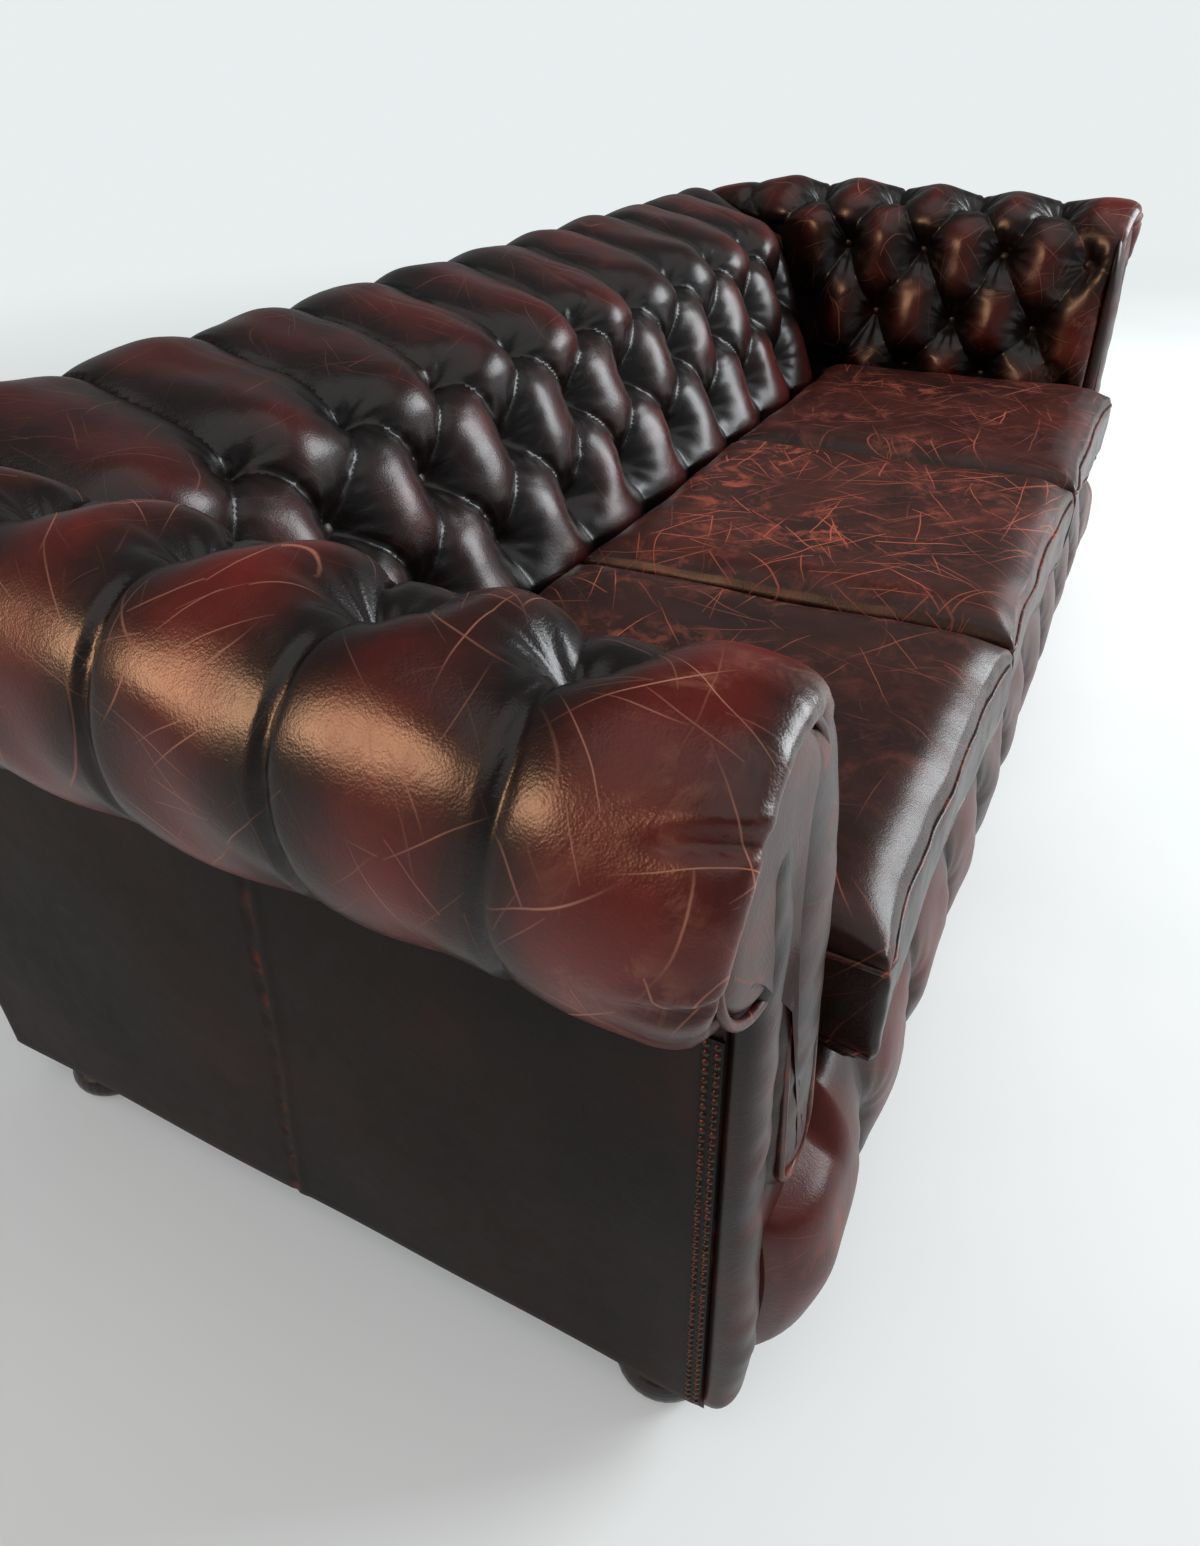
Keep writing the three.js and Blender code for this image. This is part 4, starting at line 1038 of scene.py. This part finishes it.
block_points, block_mesh = stuffed_block(0.486, 0.500, 0.104)
seats = (("left", 3, 0.004, 0.65), ("centre", 8, 0.002, 1.0), ("right", 14, 0.000, 0.80))
for number, (name, seed, rise, wear_amount) in enumerate(seats):
    middle = np.array([(number - 1) * CUSHION_PITCH, (CUSHION_FRONT + CUSHION_REAR) / 2 - 0.004,
                       (CUSHION_LOW + CUSHION_HIGH) / 2 + 0.001])
    across, along, up = block_points.T
    # a flat foot on the deck, sides held by the neighbours, and softness in the top
    low = -0.0685
    up = np.where(up < low + 0.012, low + (up - low) * 0.25 * (up > low), up)
    up = np.maximum(up, low)
    limit, reach = 0.2505, 0.2640
    across = limit * np.tanh(across / limit * 1.35) / np.tanh(1.35 * 1.03)
    along = reach * np.tanh(along / reach * 1.35) / np.tanh(1.35 * 1.03)
    # the boxed corners keep their points
    corner = (np.abs(across) / 0.25 * np.abs(along) / 0.26) ** 4
    across, along = across * (1 + 0.015 * corner), along * (1 + 0.022 * corner)
    across = np.clip(across, -0.2513, 0.2513)
    top = np.clip((up - 0.02) / 0.04, 0, 1)
    hollow = np.exp(-((across / 0.17) ** 2 + ((along + 0.03) / 0.20) ** 2))
    # the front edge hangs a little over the rail
    up = up - 0.007 * np.clip((-along - 0.17) / 0.09, 0, 1) ** 2
    up = up + top * (rise - 0.006 * hollow + 0.0015 * ripple(across, along, seed, 0.14)
                     + 0.0002 * ripple(across, along, seed + 1, 0.045))
    front = np.clip((-along - 0.20) / 0.06, 0, 1)
    along = along - front * (0.002 * ripple(across, up, seed + 2, 0.14) + 0.0005 * ripple(across, up, seed + 3, 0.04))
    points = np.column_stack([across, along, up])
    # seams: the top and bottom panels meet the side walls in a drawn-in line
    mesh = block_mesh.copy()
    mesh.name = f"seat_cushion_{name}"
    mesh.vertices.foreach_set("co", np.ascontiguousarray(points + middle, dtype=np.float32).ravel())
    mesh.update()
    normals = np.empty(len(mesh.vertices) * 3)
    mesh.vertices.foreach_get("normal", normals)
    normals = normals.reshape(-1, 3)
    side_facing = np.clip(1 - np.abs(normals[:, 2]) * 1.0, 0, 1)
    groove = np.zeros(len(points))
    for seam_z in (TOP_SEAM, BOTTOM_SEAM):
        groove = np.maximum(groove, np.exp(-((points[:, 2] - seam_z) / 0.006) ** 2) * (side_facing > 0.12))
    points = points - normals * (0.0028 * groove)[:, None]
    mesh.vertices.foreach_set("co", np.ascontiguousarray(points + middle, dtype=np.float32).ravel())
    rim = np.maximum(np.abs(points[:, 0]) / 0.25, np.abs(points[:, 1]) / 0.26)
    bare = top * (0.45 + 0.55 * ripple(points[:, 0], points[:, 1], seed + 4, 0.22))
    bare = bare * np.clip((points[:, 1] + 0.30) / 0.30, 0.15, 1)
    edge_wear = 0.5 * groove * (0.5 + 0.5 * ripple(points[:, 0] + points[:, 1], points[:, 2], seed + 5, 0.04))
    wear = np.clip(wear_amount * bare + edge_wear, 0, 1)
    crown = np.clip(0.35 + 0.5 * top * (1 - 0.4 * (rim > 0.9)), 0, 1)
    store_masks(mesh, crown, wear)
    cushion = finish_piece(f"seat_cushion_{name}", mesh, seat_leathers[name], levels=1)
    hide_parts(f"cushion_case_{name}", f"cushion_core_{name}")

    surface = BVHTree.FromPolygons([v.co[:] for v in mesh.vertices], [p.vertices[:] for p in mesh.polygons])
    for label, seam_z in (("top", TOP_SEAM), ("bottom", BOTTOM_SEAM)):
        welt = []
        for step in range(160):
            angle = 2 * math.pi * (step + 0.5) / 160
            direction = Vector((math.cos(angle), math.sin(angle), 0))
            scale = min(0.30 / max(abs(direction.x), 1e-6), 0.32 / max(abs(direction.y), 1e-6))
            origin = Vector(middle) + Vector((0, 0, seam_z))
            hit, normal, _, _ = surface.ray_cast(origin + direction * min(scale, 0.6), -direction)
            if hit is not None:
                welt.append(hit + normal * 0.0010)
        tube_along(f"cushion_welt_{label}_{name}", welt, 0.0028, seat_leathers[name], True, crown=0.6, wear=0.35)
bpy.data.meshes.remove(block_mesh)


# ---------------------------------------------------------------------------
# Studio: a plain pale floor that runs on into a pale backdrop, soft light from
# the front right and above, a warm light at the left, and the camera.
# ---------------------------------------------------------------------------
BACKDROP, BACKDROP_LEVEL = (0.94, 0.995, 1.0, 1), 0.86


def studio():
    bm = bmesh.new()
    bmesh.ops.create_grid(bm, x_segments=1, y_segments=1, size=40)
    mesh = bpy.data.meshes.new("studio_floor")
    bm.to_mesh(mesh)
    bm.free()
    floor = bpy.data.objects.new("studio_floor", mesh)
    bpy.context.scene.collection.objects.link(floor)
    material, tree, shader = new_material("studio_floor_paint")
    place = add(tree, "ShaderNodeTexCoord").outputs["Object"]
    cloud = add(tree, "ShaderNodeTexNoise", {"Vector": place, "Scale": 2.2, "Detail": 4.0}).outputs["Fac"]
    colour = ramp(tree, cloud, (0.3, "#dadbdb"), (0.7, "#e2e2e1"))
    shade(tree, shader, Base_Color=colour, Roughness=0.75)
    # a few metres away the floor, as the camera sees it, fades into the backdrop's own brightness, so that it runs on
    # into the backdrop
    radius = add(tree, "ShaderNodeVectorMath", {0: place}, operation="LENGTH").outputs["Value"]
    far = add(tree, "ShaderNodeMapRange", {"Value": radius, "From Min": 1.8, "From Max": 5.5},
              interpolation_type="SMOOTHSTEP").outputs[0]
    far = calc(tree, "MULTIPLY", far, add(tree, "ShaderNodeLightPath").outputs["Is Camera Ray"])
    glow = add(tree, "ShaderNodeEmission", {"Color": BACKDROP, "Strength": BACKDROP_LEVEL})
    mixed = add(tree, "ShaderNodeMixShader", {0: far, 1: shader.outputs[0], 2: glow.outputs[0]})
    tree.links.new(mixed.outputs[0], tree.nodes["Material Output"].inputs["Surface"])
    shade(tree, shader, Emission_Color=(0.95, 0.99, 1.0, 1), Emission_Strength=0.20)
    mesh.materials.append(material)

    world = bpy.data.worlds.new("studio_air")
    bpy.context.scene.world = world
    world.use_nodes = True
    air = world.node_tree
    direction = add(air, "ShaderNodeTexCoord").outputs["Generated"]
    rise = add(air, "ShaderNodeSeparateXYZ", {"Vector": direction}).outputs["Z"]
    dome = add(air, "ShaderNodeMapRange", {"Value": rise, "From Min": 0.05, "From Max": 0.55,
                                           "To Min": 0.28, "To Max": 0.18})
    seen = add(air, "ShaderNodeLightPath").outputs["Is Camera Ray"]
    strength = add(air, "ShaderNodeMix", {0: seen, 2: dome.outputs[0], 3: BACKDROP_LEVEL}, data_type="FLOAT")
    air.links.new(strength.outputs[0], air.nodes["Background"].inputs["Strength"])
    air.nodes["Background"].inputs["Color"].default_value = BACKDROP

    for name, place, aim, size, power, colour in (
        ("window", (2.6, -3.4, 2.2), (0, 0, 0.4), 2.4, 255, (0.92, 0.97, 1.0)),
        ("lamp", (-3.0, 1.5, 2.1), (-0.2, -0.1, 0.6), 1.1, 85, (1.0, 0.56, 0.32)),
    ):
        data = bpy.data.lights.new(name, "AREA")
        data.energy, data.size, data.color = power, size, colour
        light = bpy.data.objects.new(name, data)
        light.location = place
        light.visible_diffuse = name != "lamp"
        light.rotation_euler = (Vector(aim) - Vector(place)).to_track_quat("-Z", "Y").to_euler()
        bpy.context.scene.collection.objects.link(light)
    sun_data = bpy.data.lights.new("soft_top_light", "SUN")
    sun_data.energy, sun_data.angle, sun_data.color = 0.95, math.radians(70), (1.0, 0.99, 0.97)
    sun = bpy.data.objects.new("soft_top_light", sun_data)
    sun.rotation_euler = (math.radians(12), math.radians(-14), 0)
    bpy.context.scene.collection.objects.link(sun)


studio()
bpy.context.scene.view_settings.view_transform = "Standard"
camera_data = bpy.data.cameras.new("camera")
camera_data.sensor_width = 36
camera_data.lens = 23.52
camera = bpy.data.objects.new("camera", camera_data)
heading, tilt, roll = (Matrix.Rotation(math.radians(angle), 4, axis)
                       for angle, axis in ((-61.2906, "Z"), (54.4814, "X"), (-1.8338, "Z")))
camera.matrix_world = Matrix.Translation((-1.2588, -0.5175, 0.9246)) @ heading @ tilt @ roll
bpy.context.scene.collection.objects.link(camera)
bpy.context.scene.camera = camera

bpy.context.view_layer.update()
